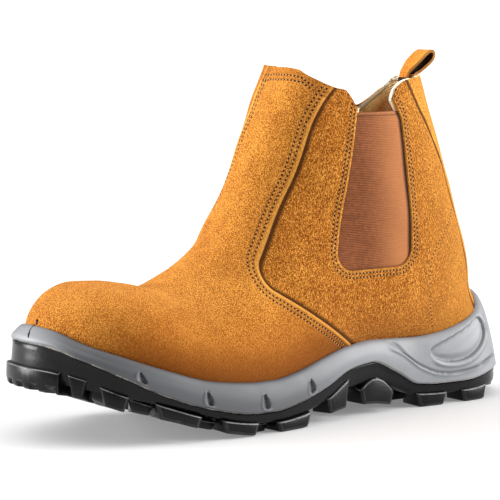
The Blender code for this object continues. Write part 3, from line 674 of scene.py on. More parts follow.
def makeElastic():
    # fine cords across, small yarn twist along them; painted light towards the rear, painted shade in the hem's
    # groove and painted shadow along the cut-out's edges
    f = Finish("elasticWeb", {"Roughness": 0.8, "Specular IOR Level": 0.2, "Sheen Weight": 0.08,
                              "Sheen Roughness": 0.5, "Sheen Tint": (1.0, 0.65, 0.4, 1)})
    cord = (f.axis("Z") * (2 * math.pi / 0.00092)).math("SINE") * 0.5 + 0.5
    twist = (f.axis("X") * (2 * math.pi / 0.0007) + f.axis("Z") * 2400.0).math("SINE") * 0.5 + 0.5
    uneven = f.noise(420, 3)
    streak = f.noise(300, 3, 0.6, f.stretched((0.12, 0.12, 1.5)))
    hem = f.mark("topDist")
    weave = cord * 0.30 + twist * 0.26 + uneven * 0.40 + streak * 0.14
    colour = f.ramp(weave.spread(0.30, 0.85), [(0.0, (0.090, 0.023, 0.006)), (0.5, (0.210, 0.059, 0.016)),
                                               (1.0, (0.350, 0.108, 0.031))])
    # painted light: paler towards the rear, as lit from the right
    paleShare = f.axis("X").spread(0.034, 0.070)
    colour = f.mix(paleShare * 0.75, colour, (0.59, 0.222, 0.076))
    colour = f.mix(hem.near(0.6, 0.9) * 0.45, colour, (0.50, 0.20, 0.085))
    # painted shade in the groove under the hem
    colour = f.mix(hem.near(1.9, 0.5) * 0.6, colour, (0.09, 0.03, 0.016))
    # painted shadow under the quarter's rear edge and along the cut-out's edges
    colour = f.mix((1 - f.mark("rearDist").spread(0.8, 3.4)) * 0.92, colour, (0.02, 0.007, 0.004))
    colour = f.mix((1 - f.mark("edgeDist").spread(0.0, 1.6)) * 0.45, colour, (0.05, 0.02, 0.012))
    f.feed("Base Color", colour)
    f.bump(cord * 0.5 + twist * 0.3 + uneven * 0.4 + streak * 0.1 - hem.near(1.9, 0.6) * 1.5, 0.0004, 0.7)
    return f.material


def makeFoam():
    # moulded grey layer, a thread of pale flash along its lower lip; painted shade on the forefoot's wall and
    # in the moulded grooves
    f = Finish("greyFoam", {"Roughness": 0.45, "Specular IOR Level": 0.5})
    cloud = f.noise(40, 3)
    grain = f.noise(1900, 2)
    scuff = f.noise(220, 5, 0.7, f.stretched((0.35, 0.35, 1.6)))
    colour = f.ramp(cloud * 0.6 + grain * 0.2 + scuff * 0.3, [(0.35, (0.215, 0.222, 0.235)),
                                                              (0.75, (0.285, 0.292, 0.306))])
    colour = f.mix(scuff.spread(0.66, 0.78) * 0.3, colour, (0.20, 0.20, 0.21))
    # painted shade: the forefoot's wall darker, as it gets little light
    bend = (1 - f.axis("X").spread(-0.02, 0.05)) * f.axis("X").spread(-0.151, -0.136)
    colour = f.mix(bend * 0.85, colour, (0.048, 0.050, 0.055))  # painted shade on the forefoot's wall
    # painted shade in the moulded grooves
    colour = f.mix(f.mark("dirt") * 0.75, colour, (0.05, 0.05, 0.055))
    lip = f.mark("wallRise")
    flash = (1 - lip.spread(-0.75, -0.5)) * grain.spread(0.42, 0.55) * f.noise(130, 3).spread(0.40, 0.56)
    colour = f.mix(flash * 0.8, colour, (0.70, 0.60, 0.48))
    f.feed("Base Color", colour)
    f.feed("Roughness", 0.36 + cloud * 0.16 + scuff * 0.12)
    f.bump(grain * 0.5 + scuff * 0.4, 0.00018, 0.5)
    return f.material


def makeRubber():
    f = Finish("blackRubber", {"Roughness": 0.3, "Specular IOR Level": 0.17})
    grain = f.noise(1500, 3)
    dust = f.noise(90, 5, 0.65)
    colour = f.ramp(dust * 0.7 + grain * 0.3, [(0.3, (0.003, 0.003, 0.0035)), (0.72, (0.008, 0.008, 0.009))])
    # rubbed pale edges with painted highlight, more of it on upward edges
    paleShare = f.mark("edgeWear") * dust.spread(0.25, 0.6)
    f.feed("Base Color", f.mix(paleShare, colour, (0.19, 0.19, 0.195)))
    f.feed("Roughness", 0.18 + dust * 0.16)
    f.bump(grain * 0.6 + dust * 0.4, 0.00018, 0.5)
    return f.material


def makeLining():
    # woven with fine pinholes, a cream band along its top made paler for painted light, painted shade further
    # down inside
    f = Finish("beigeLining", {"Roughness": 0.9, "Specular IOR Level": 0.2, "Sheen Weight": 0.2})
    pin = (f.axis("X") * 3600.0).math("SINE") * (f.axis("Z") * 3600.0).math("SINE")
    cloud = f.noise(120, 3)
    fold = f.noise(95, 3, 0.5, f.stretched((1.0, 1.0, 0.6), (0, 0.7, 0)))
    tone = cloud * 0.3 + fold * 0.7 + pin * 0.02
    colour = f.ramp(tone, [(0.38, (0.60, 0.26, 0.07)), (0.58, (0.98, 0.74, 0.34))])
    band = f.mark("topDist")
    # painted shade: darker further down inside the boot
    colour = f.mix(band.spread(4.5, 14.0) * 0.7, colour, (0.46, 0.17, 0.042))
    # cream band along the top, made paler for painted light
    colour = f.mix(1 - band.spread(2.6, 3.2), colour, (0.98, 0.90, 0.70))
    f.feed("Base Color", colour)
    f.bump(pin * 0.08 + cloud * 0.6 + fold * 3.6 - band.near(3.0, 0.5) * 1.2, 0.002, 0.9)
    return f.material


grained = {  # dark and light tone, scale of the grain, roughness, depth, shine, where the dark tone ends
    "rawEdge": ((0.42, 0.22, 0.09), suedeTones["raw"], 1500, 0.95, 0.0004, 0.2, 0.25),
    "loopEdge": ((0.20, 0.075, 0.015), (0.52, 0.22, 0.05), 1500, 0.95, 0.0004, 0.2, 0.25),
    # painted shade: near-black inner side that darkens the loop's hole
    "loopHoleShade": ((0.012, 0.004, 0.001), (0.045, 0.015, 0.004), 1500, 0.95, 0.0004, 0.2, 0.25),
    "creamEdge": ((0.80, 0.75, 0.66), (0.90, 0.87, 0.80), 900, 0.9, 0.0002, 0.3, 0.3),
    "threadTan": ((0.50, 0.22, 0.045), (0.86, 0.48, 0.15), 3000, 0.75, 0.0002, 0.3, 0.3),
    # painted shade: dark beads standing in for the needle holes
    "needleHoleShade": ((0.016, 0.005, 0.002), (0.032, 0.011, 0.003), 2000, 0.95, 0.0001, 0.3, 0.3),
    "feltBoard": ((0.40, 0.28, 0.16), (0.62, 0.47, 0.30), 1300, 0.95, 0.0005, 0.3, 0.3),
}


def makeGrained(name, dark, light, scale, rough, depth, shine, darkEnd):
    f = Finish(name, {"Roughness": rough, "Specular IOR Level": shine})
    grain = f.noise(scale, 3)
    f.feed("Base Color", f.ramp(grain, [(darkEnd, dark), (0.7, light)]))
    f.bump(grain, depth, 0.7)
    return f.material


finishes = {name: makeSuede(name, **form) for name, form in suedeForms.items()}
finishes.update({name: makeGrained(name, *form) for name, form in grained.items()})
finishes.update({"elasticWeb": makeElastic(), "greyFoam": makeFoam(), "blackRubber": makeRubber(),
                 "beigeLining": makeLining()})
print("finishes made")

vampCut = {"sink": 0.0, "wall": 1.15}
bm = leatherPanel([seamLevel, collarLevel], vampCut["sink"],
                  {"seamDist": seamLevel, "topDist": collarLevel, "footDist": footLevel})
vampTree = BVHTree.FromBMesh(bm)
place("vamp", bm, ["vampSuede", "rawEdge"], ("upper",), vampCut["wall"])

facingCut = {"sink": 1.2, "wall": 0.85, "inside": 7.5, "low": 150}  # turned-in hem behind the vamp's top edge
bm = leatherPanel([lambda *at: seamLevel(*at) - facingCut["inside"], collarLevel,
                   lambda x, y, z, side: z - facingCut["low"]], facingCut["sink"], {})
place("vampFacing", bm, ["loopSuede", "rawEdge"], (), facingCut["wall"])

quarterCut = {"sink": 1.2, "wall": 0.75, "under": 7.0}
bm = leatherPanel([lambda *at: quarterCut["under"] - seamLevel(*at), goreLevel, collarLevel, stripLevel],
                  quarterCut["sink"], {"goreDist": goreLevel, "underDist": lambda *at: -seamLevel(*at),
                                       "footDist": footLevel})
quarterTree = BVHTree.FromBMesh(bm)
place("quarters", bm, ["quarterSuede", "loopEdge"], ("upper",), quarterCut["wall"])

stripCut = {"sink": 2.0, "wall": 0.8, "under": 8.0}
bm = leatherPanel([lambda *at: stripCut["under"] - stripLevel(*at), collarLevel], stripCut["sink"],
                  {"underDist": lambda *at: -stripLevel(*at), "footDist": footLevel})
place("backStrip", bm, ["stripSuede", "rawEdge"], ("upper",), stripCut["wall"])

goreCut = {  # rear is the cut-out's rear edge, heights and places
    "sink": 2.0, "wall": 0.8, "under": 4.0, "rear": ((70, 80, 145, 160, 172), (62, 69, 67.6, 66.8, 60.5)),
}


def goreTopLevel(x, y, z, side):
    return panelLines["goreTop"] - z


for name, node, facing in (("goreLateral", "gore_left", -1), ("goreMedial", "gore_right", 1)):
    bm = leatherPanel([lambda x, y, z, side: side * facing, lambda *at: goreCut["under"] - goreLevel(*at),
                       goreTopLevel], goreCut["sink"],
                      {"edgeDist": lambda *at: -goreLevel(*at), "topDist": goreTopLevel,
                       "rearDist": lambda x, y, z, side: np.interp(z, *goreCut["rear"]) - x})
    place(name, bm, ["elasticWeb", "elasticWeb"], (node,), goreCut["wall"])

liningCut = {
    "sink": 2.05, "wall": 1.1, "gore": 3.5, "toe": -122, "proud": 0.35,
    "low": 0.9, "lowFrom": (74, 84), "hidden": 2.4, "hiddenTo": (92, 98),  # lower than the collar at its rear
    "ahead": 1.5, "aheadFrom": (54, 62), "backed": 146, "backedTop": (160, 164),
}


def liningLevel(x, y, z, side):  # stands a little in front of the rear edges
    outer = liningCut["low"] * fade(*liningCut["lowFrom"], x)
    inner = liningCut["hidden"] * (1 - fade(*liningCut["hiddenTo"], x))
    ahead = liningCut["ahead"] * fade(*liningCut["aheadFrom"], x)
    return collarLevel(x + ahead, y, z, side) + liningCut["proud"] - np.where(side < 0, outer, inner)


def liningSide(x, y, z, side):  # stops at the cut-outs, but backs the top of the inner one
    freed = (liningCut["gore"] + liningCut["ahead"]) * fade(*liningCut["backedTop"], z)
    backed = np.where(side > 0, z - liningCut["backed"], -99)
    return np.maximum(goreLevel(x, y, z, side) - liningCut["gore"] + freed, backed)


bm = leatherPanel([liningSide, liningLevel, lambda x, y, z, side: x - liningCut["toe"]], liningCut["sink"],
                  {"topDist": liningLevel})
place("lining", bm, ["beigeLining", "creamEdge"], (), liningCut["wall"])

stitch = {"pitch": 2.35, "length": 1.3, "width": 0.7, "height": 0.42, "sunk": 0.08,
          "hole": 0.72, "squash": 0.85, "deep": 0.2}
sewing = {  # heights between which each row runs; the inner seam goes on as a row up the shin
    "seam": {"lateral": (30, 186), "medial": (30, 124)}, "gore": (60, 180), "counter": (42, 112), "hemLow": 120,
    "counterHole": 0.85, "shinUnder": 8.5, "hemEnds": (6.5, 2.6),  # smaller holes; free space at the rows' ends
}


def offsetLine(outline, distance):
    # line beside an outline, on the right of its way
    spots = [outline[0]]
    for a, b in zip(outline, outline[1:]):
        count = max(1, int(np.linalg.norm(b - a)))
        spots += [a + (b - a) * k / count for k in range(1, count + 1)]
    spots = np.array(spots)
    ahead = unit(np.gradient(spots, axis=0))
    return spots + np.stack([ahead[:, 1], -ahead[:, 0]], 1) * distance


def onPanel(tree, line, side, low, high):
    # points of a flat line laid on a panel
    out = Vector((0, outward[side], 0))
    spots = []
    for x, z in line:
        if low < z < high:
            spot, normal = tree.ray_cast(Vector((x, 0, z)) + out * 200, -out)[:2]
            if spot and spot.dot(out) > 0:
                spots.append((spot, normal if normal.dot(out) > 0 else -normal))
    return spots


def paced(spots, pitch):
    # even steps along a run of points
    where, lean = (np.array(column) for column in zip(*spots))
    reach = runLengths(where)
    stops = np.arange(0.5 * pitch, reach[-1], pitch)
    spot, normal = (np.stack([np.interp(stops, reach, k) for k in grid.T], 1) for grid in (where, lean))
    return spot, unit(normal), unit(np.gradient(spot, axis=0))


threads, holes = [], []  # where each stitch and each needle hole lies


def sew(spots, hole=1.0):
    # a thread over each step, a needle hole between two
    if len(spots) < 4:
        return
    size = Matrix.Diagonal((stitch["length"] / 2, stitch["width"] / 2, stitch["height"] / 2, 1))
    long = stitch["hole"] * hole
    flat = Matrix.Diagonal((long, long * stitch["squash"], stitch["deep"], 1))
    for spot, normal, ahead in zip(*paced(spots, stitch["pitch"])):
        normal = Vector(normal)
        across = normal.cross(Vector(ahead)).normalized()
        ahead = across.cross(normal)
        turn = Matrix((ahead, across, normal)).transposed().to_4x4()
        spot = Vector(spot) - normal * stitch["sunk"]
        threads.append(Matrix.Translation(spot) @ turn @ size)
        holes.append(Matrix.Translation(spot + ahead * stitch["pitch"] / 2) @ turn @ flat)


def scattered(spots, rings):
    # one small bead at each place, all in one mesh
    bead = bmesh.new()
    bmesh.ops.create_uvsphere(bead, u_segments=rings, v_segments=4, radius=1)
    corners = np.array([(*v.co, 1) for v in bead.verts])
    faces = [[v.index for v in f.verts] for f in bead.faces]
    bead.free()
    where = np.concatenate([corners @ np.array(spot).T for spot in spots])[:, :3]
    starts = [k * len(corners) for k in range(len(spots))]
    mesh = bpy.data.meshes.new("beads")
    mesh.from_pydata(where, [], [[v + start for v in face] for start in starts for face in faces])
    joined = bmesh.new()
    joined.from_mesh(mesh)
    bpy.data.meshes.remove(mesh)
    return joined


def levelRow(level, over, pick, low, keep):
    # row along a level's zero line, found on each row or column of the last
    sides = np.broadcast_to(last["sides"], last["real"].shape)
    spots, normals, sides = (np.swapaxes(grid, 0, over) for grid in (last["spots"], last["normals"], sides))
    run = []
    for line, lean, lift, side in zip(spots, normals, relief(spots), sides):
        values = level(*line.T, side)
        cross = np.where((values[:-1] > 0) & (values[1:] <= 0) & (line[:-1, 2] > low))[0]
        if len(cross) == 0:
            continue
        k = cross[pick]
        u = values[k] / (values[k] - values[k + 1])
        spot, normal = (row[k] + (row[k + 1] - row[k]) * u for row in (line, lean))
        if keep(*spot[:, None], side[k])[0]:
            run.append((Vector(spot + normal * lift[k]), Vector(normal)))
    return run


def shinRow(distance):
    # beside the inner seam where it climbs the shin
    return levelRow(lambda x, y, z, side: np.where(side > 0, seamLevel(x, y, z, side) - distance, -1), 0, 0,
                    sewing["seam"]["medial"][1], lambda *at: collarLevel(*at) > sewing["shinUnder"])


def hemRow(depth):
    # under the vamp's top edge, from seam to seam round the front
    return levelRow(lambda *at: collarLevel(*at) - depth, 1, -1, sewing["hemLow"],
                    lambda *at: seamLevel(*at) > sewing["hemEnds"][int(at[3] > 0)])


counterRow = rounded([(112, 112, 0), (83, 83, 22), (83, 58, 30), (90, 40, 0)])  # holds the heel stiffener
for side in outlines:
    seamLine = vampOutlines[side][:-2]  # down the front edge, round the tip and down to the sole
    for distance in sewnRows["seam"]:
        sew(onPanel(vampTree, offsetLine(seamLine, distance), side, *sewing["seam"][side]))
    for distance in sewnRows["gore"]:
        sew(onPanel(quarterTree, offsetLine(goreOutline, distance), side, *sewing["gore"]))
    sew(onPanel(quarterTree, offsetLine(counterRow, 0), side, *sewing["counter"]), sewing["counterHole"])
for distance in sewnRows["seam"]:
    sew(shinRow(distance))
for depth in sewnRows["hem"]:
    sew(hemRow(depth))
place("stitches", scattered(threads, 6), ["threadTan"], (), sharp=80)
place("needleHoles", scattered(holes, 7), ["needleHoleShade"], (), sharp=80)
print("sewn")


def ringGrid(rings, marks=None):
    # closed rings swept along the boot
    rings = np.array(rings)
    bm, i, j = gridMesh(np.concatenate([rings, rings[:, :1]], 1))
    for name, values in (marks or {}).items():
        writeLayer(bm, name, np.concatenate([values, values[:, :1]], 1)[i, j])
    return bm


def cornerCut(points, rounds=3):
    # closed outline with its corners cut off again and again
    points = np.array(points, float)
    for _ in range(rounds):
        after = np.roll(points, -1, 0)
        points = np.stack([points * 0.75 + after * 0.25, points * 0.25 + after * 0.75], 1).reshape(-1, 2)
    return points


foamForm = {
    "stations": 460, "heights": 46,
    "notches": (-109, -73, -38, -5), "notchDepth": 1.9, "notchLean": 1.6, "notchWide": 2.4,
    "notchRise": (0.06, 0.63),
    "leaf": [(83.5, 0.68), (88, 0.50), (97, 0.38), (107, 0.36), (116, 0.40), (125, 0.50), (131, 0.66),
             (128, 0.84), (117, 0.83), (106, 0.79), (95, 0.75), (87, 0.72)],
    "leafUnder": 7, "leafDepth": 1.5, "leafCrown": 1.1, "leafRidge": 0.7,  # its lower edge is the first seven
    "swoop": columns(("x", "height"), [(46, 0.86), (58, 0.74), (69, 0.54), (79, 0.34), (90, 0.19),
                                       (101, 0.15), (114, 0.16), (127, 0.18), (138, 0.20)]),
    "swoopEnds": ((53, 61), (134, 141)), "swoopGroove": 0.95, "swoopRidge": 0.75,
    "shoulder": 0.66, "corner": (2.3, 1.1),  # where the wall starts to round over and the corner it rounds
    "toeTuck": 2.2, "toeEnds": (-149, -136), "lipRise": 0.45, "unmarked": 50,
    "touch": 0.15, "quarterFrom": (30, 38), "stripFrom": (120, 129),  # the rim meets each panel's own face
}


def wallTall(x):
    return soleAt("feather", x) - soleAt("joint", x) - soleForm["lip"] - soleForm["drop"]


def foamRelief(side, share, height):
    # moulded marks of the midsole's side: notches, leaf, swoop, and their grooves, which get painted shade
    height = height[None, :]
    x = outlines[side].spot(share)[:, :1] + 0 * height
    tall = wallTall(x)
    up = height * tall
    out, carved = np.zeros(x.shape), np.zeros(x.shape)
    foot, rise = foamForm["notchRise"]
    for middle in foamForm["notches"]:
        lean = x - middle + (height - 0.4) * foamForm["notchLean"]
        climb = np.clip((height - foot) / rise, 0, 1)
        wide = 0.2 + foamForm["notchWide"] * np.sin(np.pi * climb ** 0.55)  # round below, a point at the top
        window = fade(0, 0.10, climb) * (1 - fade(0.86, 1, climb))
        within = np.clip((lean + wide) / (2 * wide), 0, 1)  # deepens rearwards, then steps back out
        out -= foamForm["notchDepth"] * fade(0, 0.72, within) * (1 - fade(0.82, 1, within)) * window
        out += 0.4 * hump(lean + wide, -0.5, 0.6) * window
        carved += fade(0.45, 0.75, within) * (1 - fade(0.86, 1, within)) * window
        out += 0.5 * hump(up, 0.03 * tall, 0.8) * hump(lean, 0, 2.4)
    leaf = np.array([(at, part * float(wallTall(at))) for at, part in foamForm["leaf"]])
    far = flatDistance(cornerCut(leaf), x.ravel(), up.ravel()).reshape(x.shape)
    low = np.interp(x, *leaf[:foamForm["leafUnder"]].T)
    under = fade(-2, 2, low + 4 - up)
    lower = under * fade(84, 90, x)
    out -= foamForm["leafDepth"] * fade(-0.15, 0.55, -far)
    out += foamForm["leafCrown"] * fade(1.4, 5.0, -far)
    out += foamForm["leafRidge"] * hump(far, 1.9, 0.65) * lower
    carved += 0.8 * hump(far, -0.3, 0.55) + 0.5 * hump(far, 3.2, 0.7) * lower
    out += 0.4 * hump(-far, 1.7, 0.5) * (1 - under)
    rise = eased(foamForm["swoop"]["x"], foamForm["swoop"]["height"], x) * tall
    start, end = (fade(*limits, x) for limits in foamForm["swoopEnds"])
    run = start * (1 - end)
    slope = np.gradient(rise[:, 0], x[:, 0] + 1e-6 * np.arange(len(x)))
    across = (up - rise) / np.sqrt(1 + slope[:, None] ** 2)
    out -= foamForm["swoopGroove"] * hump(across, 0.6, 0.65) * run
    out += foamForm["swoopRidge"] * hump(across, -0.8, 0.7) * run
    out -= 0.25 * fade(0.0, 3.0, across) * (1 - fade(6, 12, across)) * run
    carved += 0.8 * hump(across, 0.5, 0.5) * run
    return out, np.clip(carved, 0, 1)


def toeShare(x):
    return 1 - fade(*foamForm["toeEnds"], x)


def foamHalf(side, share):
    # lines along one side, from the core under the foot, round the wall, to the footbed
    height = np.linspace(0, 1, foamForm["heights"])
    x = outlines[side].spot(share)[:, 0]
    tuck = foamForm["toeTuck"] * toeShare(x)
    out = foamRelief(side, share, height)[0] - tuck[:, None] * (1 - height[None, :]) ** 1.5
    sunk = quarterCut["sink"] * fade(*foamForm["quarterFrom"], x)
    sunk += (stripCut["sink"] - quarterCut["sink"]) * fade(*foamForm["stripFrom"], x)
    touch = foamForm["touch"] - sunk
    half = soleForm["gap"] / 2
    lines = [levelSpot(side, share, soleForm["coreInset"], "core", half),
             levelSpot(side, share, soleForm["seamInset"] + 0.6 + tuck, "joint", half),
             levelSpot(side, share, soleForm["seamInset"] - 0.5 + tuck, "joint", foamForm["lipRise"])]
    wall = np.stack([wallSpot(side, share, h, out[:, k]) for k, h in enumerate(height)], 1)
    plain = np.stack([wallSpot(side, share, h) for h in height], 1)
    away, lift = foamForm["corner"]
    corner = featherSpot(side, share, np.minimum(soleAt("inset", x), away), lift)[:, None]
    end = featherSpot(side, share, touch, -0.2)[:, None]
    turn = np.clip((height - foamForm["shoulder"]) / (1 - foamForm["shoulder"]), 0, 1)[None, :, None]
    base = wallSpot(side, share, foamForm["shoulder"])[:, None]
    bend = base * (1 - turn) ** 2 + corner * 2 * turn * (1 - turn) + end * turn ** 2
    wall = np.where(turn > 0, bend + (wall - plain), wall)  # the top rounds over into the rim
    foot = featherSpot(side, share, touch)[:, :2]
    return np.stack(lines + list(wall.transpose(1, 0, 2)) + [raised(foot, soleAt("footbed", foot[:, 0]))], 1)


def foamMarks(side, share):
    # for the finish: millimetres above the lower lip, and the painted shade of the grooves
    height = np.linspace(0, 1, foamForm["heights"])
    tall = wallTall(outlines[side].spot(share)[:, :1])
    far, lip, above = (0 * tall + level for level in (
        foamForm["unmarked"], -soleForm["lip"], foamForm["lipRise"] - soleForm["lip"]))
    rise = np.concatenate([far, lip, above, height[None, :] * tall, far], 1)
    return {"wallRise": rise, "dirt": np.pad(foamRelief(side, share, height)[1], ((0, 0), (3, 1)))}


def acrossLines(a, b, name, lift, count=5):
    lines = []
    for share in np.linspace(0, 1, count + 2)[1:-1]:
        flat = a[:, :2] + (b[:, :2] - a[:, :2]) * share
        lines.append(raised(flat, soleAt(name, flat[:, 0]) + lift))
    return np.stack(lines, 1)


def soleLayer(half, under, over, stations, marked=None):
    # closed layer of the sole, with its two sides joined above and below
    share = np.linspace(0, 1, stations + 1)
    sides = {side: half(side, share) for side in outlines}
    top = acrossLines(sides["lateral"][:, -1], sides["medial"][:, -1], *over)
    bottom = acrossLines(sides["medial"][:, 0], sides["lateral"][:, 0], *under)
    marks = {}
    if marked:
        lateral, medial = marked("lateral", share), marked("medial", share)
        for name, values in lateral.items():
            plain = np.repeat(values[:, :1], top.shape[1], 1)
            marks[name] = np.concatenate([values, plain, medial[name][:, ::-1], plain], 1)
    return ringGrid(np.concatenate([sides["lateral"], top, sides["medial"][:, ::-1], bottom], 1), marks)


bm = soleLayer(foamHalf, ("core", soleForm["gap"] / 2), ("footbed", 0), foamForm["stations"], foamMarks)
foamTree = BVHTree.FromBMesh(bm)
place("midsoleFoam", bm, ["greyFoam"], ("midsole",), sharp=50, tidy=True)

toeMark = {  # black smear left by the mould, a blot on the suede and a thread of it down the rim
    "path": [(-139.4, 6.6, 61.0), (-141.6, 5.8, 59.6), (-143.1, 5.4, 58.0), (-144.8, 4.8, 56.5),
             (-146.4, 3.6, 55.3), (-147.8, 2.2, 54.1)],
    "radius": [0.9, 0.3, 0.22, 0.3, 0.55, 0.35], "beads": 40,
}
knots = np.arange(len(toeMark["path"]))
smear = []
for at in np.linspace(0, knots[-1], toeMark["beads"]):
    spot = Vector([np.interp(at, knots, column) for column in np.transpose(toeMark["path"])])
    near = min((tree.find_nearest(spot) for tree in (foamTree, vampTree)), key=lambda found: found[3])
    smear.append(Matrix.Translation(near[0]) @ Matrix.Scale(np.interp(at, knots, toeMark["radius"]), 4))
place("toeMark", scattered(smear, 8), ["blackRubber"], (), sharp=80)

treadForm = {
    "stations": 240,
    # from x, to x, height, how far it stands out, depth inwards, dome, slant
    "lugs": [(-139.5, -132.8, 0.54, 1.4, 16), (-127.8, -115.0, 0.50, 1.4, 17), (-102.0, -76.5, 0.60, 1.4, 18),
             (-65.0, -42.0, 0.62, 1.4, 20), (-30.0, -5.0, 0.52, 1.4, 20),
             (8.0, 25.0, 0.70, 1.2, 14, 0.0, 0.16), (34.0, 59.0, 0.66, 1.2, 14, 0.42),
             (74.5, 95.5, 0.62, 1.4, 17), (106.0, 127.0, 0.62, 1.4, 16)],
    "inner": [(-134, -121, 0.4, -6.0, 18), (-115, -101, 0.4, -6.0, 20), (-78, -64, 0.4, -7.0, 22),
              (-43, -29, 0.4, -7.0, 22)],
    "back": (0.953, 0.990, 0.55, 1.6, 14),  # the last lug, by its share of the edge
    "bumper": {"share": 0.078, "rise": 0.52, "proud": 2.2, "depth": 15, "teeth": 2.6, "steps": 19},
    # blocks under the foot: x, y, length, width
    "middle": [(-112, 4, 14, 26), (-88, 2, 16, 30), (-62, 0, 16, 34), (-36, 0, 16, 36), (-14, -1, 12, 32),
               (82, 0, 14, 24), (104, 0, 14, 22), (124, 0, 10, 18), (-132, 6, 13, 36)],
    "band": [(2.4, 0.04), (1.8, 0.15), (1.5, 0.35), (1.6, 0.6), (1.5, 0.82), (1.3, 0.93)],  # inset and rise
    "face": 1.4, "ledge": 2.6, "round": 0.6, "crisp": 0.35, "taper": 4.8, "toeTuck": 1.7,
    "wear": (0.15, 0.85),  # how pale the edges are, all of them and on top: rubbed wear with painted highlight, more painted highlight on top
}


def treadHalf(side, share):
    x = outlines[side].spot(share)[:, 0]
    web, joint = soleAt("web", x), soleAt("joint", x)
    lines = [levelSpot(side, share, 3.2, "web", 0)]
    tuck = treadForm["toeTuck"] * toeShare(x)
    for inset, rise in treadForm["band"]:
        lines.append(raised(edgeSpot(side, share, inset + tuck * rise ** 2), web + rise * (joint - web)))
    lines.append(levelSpot(side, share, soleForm["seamInset"] + 0.5 + tuck, "joint", -soleForm["gap"] / 2))
    lines.append(levelSpot(side, share, soleForm["coreInset"], "core", -soleForm["gap"] / 2))
    return np.stack(lines, 1)


def block(rings, into):
    # solid through rings with rounded edges, joined into the tread
    bm = ringGrid(rings)
    bmesh.ops.remove_doubles(bm, verts=bm.verts, dist=0.01)
    bmesh.ops.holes_fill(bm, edges=[e for e in bm.edges if e.is_boundary], sides=0)
    bmesh.ops.recalc_face_normals(bm, faces=bm.faces)
    wear = bm.faces.layers.float.new("edgeWear")
    crisp = [e for e in bm.edges if len(e.link_faces) == 2 and e.calc_face_angle(0) > treadForm["crisp"]]
    rounding = bmesh.ops.bevel(bm, geom=crisp, offset=treadForm["round"], offset_type="OFFSET", segments=2,
                               profile=0.5, affect="EDGES", material=-1, clamp_overlap=True)
    # painted highlight on the bevelled edges, with rubbed wear; more on upward edges
    everywhere, above = treadForm["wear"]
    for face in rounding["faces"]:
        face[wear] = everywhere + above * float(face.normal.z > 0.2)
    mesh = bpy.data.meshes.new("block")
    bm.to_mesh(mesh)
    bm.free()
    into.from_mesh(mesh)
    bpy.data.meshes.remove(mesh)


def lugRings(side, start, end, rise, proud, depth, dome=0.0, slant=0.0):
    # face narrows downwards, its top ends in a narrow ledge
    middle, half = (start + end) / 2, (end - start) / 2
    spread = np.array([-1, -0.88, -0.6, -0.3, 0, 0.3, 0.6, 0.88, 1])
    rise = rise * (1 - dome * spread ** 2 + slant * spread)
    length = outlines[side].reach[-1] * (end - start)
    low = 1 - treadForm["taper"] / length
    face = treadForm["face"] - proud

    def line(scale, inset, level, lift):
        share = middle + half * spread * scale
        flat = edgeSpot(side, share, inset + 0.9 * np.abs(spread) ** 12)
        x = outlines[side].spot(share)[:, 0]
        tread, joint = soleAt("tread", x), soleAt("joint", x)
        return raised(flat, tread + (joint - tread) * rise * level + lift)

    inward = edgeSpot(side, middle + half * spread * low, depth)
    return np.stack([
        raised(inward, soleAt("tread", inward[:, 0])), line(low, face + 0.5, 0, 0),
        line(low + 0.02, face, 0, 1.0), line(1.0, face, 0.93, 0),
        line(1.0, max(treadForm["ledge"], face + 1.2), 1.0, 0),
        raised(inward, soleAt("web", inward[:, 0]) + 1.0)], 1)


def bumperRings():
    # from the lateral end round the toe, with a toothed lower edge
    form = treadForm["bumper"]
    out = treadForm["face"] - form["proud"]
    shares = np.linspace(0, form["share"], form["steps"])
    spread = [("lateral", s) for s in shares[::-1]] + [("medial", s) for s in shares[1:]]
    rings = []
    for k, (side, share) in enumerate(spread):
        share = np.array([share])
        x = outlines[side].spot(share)[:, 0]
        tread, joint = soleAt("tread", x), soleAt("joint", x)
        ledge = tread + (joint - tread) * form["rise"]
        low = tread + form["teeth"] * (k % 7 in (2, 3, 4))
        inward = edgeSpot(side, share, form["depth"])
        face = ((out + 1.2, low), (out + 0.3, low + 0.9), (out - 0.2, tread + 4.0),
                (out + 0.1, ledge - 0.9), (3.0, ledge))
        rings.append(np.concatenate(
            [raised(inward, soleAt("tread", inward[:, 0]))]
            + [raised(edgeSpot(side, share, inset), z) for inset, z in face]
            + [raised(inward, soleAt("web", inward[:, 0]) + 1.0)]))
    return rings


def middleRings(x, y, length, width):
    rings = []
    for at in (x - length / 2, x + length / 2):
        low, high = float(soleAt("tread", at)), float(soleAt("web", at)) + 1.5
        left, right = y - width / 2, y + width / 2
        rings.append([(at, left, low), (at, right, low), (at, right, high), (at, left, high)])
    return rings


tread = soleLayer(treadHalf, ("web", 0), ("core", -soleForm["gap"] / 2), treadForm["stations"])
bmesh.ops.remove_doubles(tread, verts=tread.verts, dist=0.005)
bmesh.ops.recalc_face_normals(tread, faces=tread.faces)
tread.faces.layers.float.new("edgeWear")
block(bumperRings(), tread)
for side in outlines:
    for start, end, *rest in treadForm["lugs"] + treadForm["inner"]:
        block(lugRings(side, *outlines[side].shareAt([start, end]), *rest), tread)
    block(lugRings(side, *treadForm["back"]), tread)
for row in treadForm["middle"]:
    block(middleRings(*row), tread)
place("treadRubber", tread, ["blackRubber"], ("outsole",), sharp=40)

loopForm = {  # path of the folded strip, rearwards and up from the top of the back seam
    "path": [(-6.0, -12), (-6.2, -5), (-5.4, -0.8), (-2.6, 3.2), (1.0, 6.8), (4.8, 9.9), (8.3, 12.2),
             (10.7, 12.4), (11.6, 10.4), (10.4, 7.6), (7.8, 4.9), (4.8, 2.4), (2.0, 0.5), (-0.4, -0.8),
             (-1.9, -2.6), (-2.0, -9)],
    "top": 182.5, "width": 11.5, "middle": 1.0, "pinch": 0.42, "pinched": (-1, 8), "curl": 0.02, "thick": 1.6,
    "along": 90, "across": 10,
}


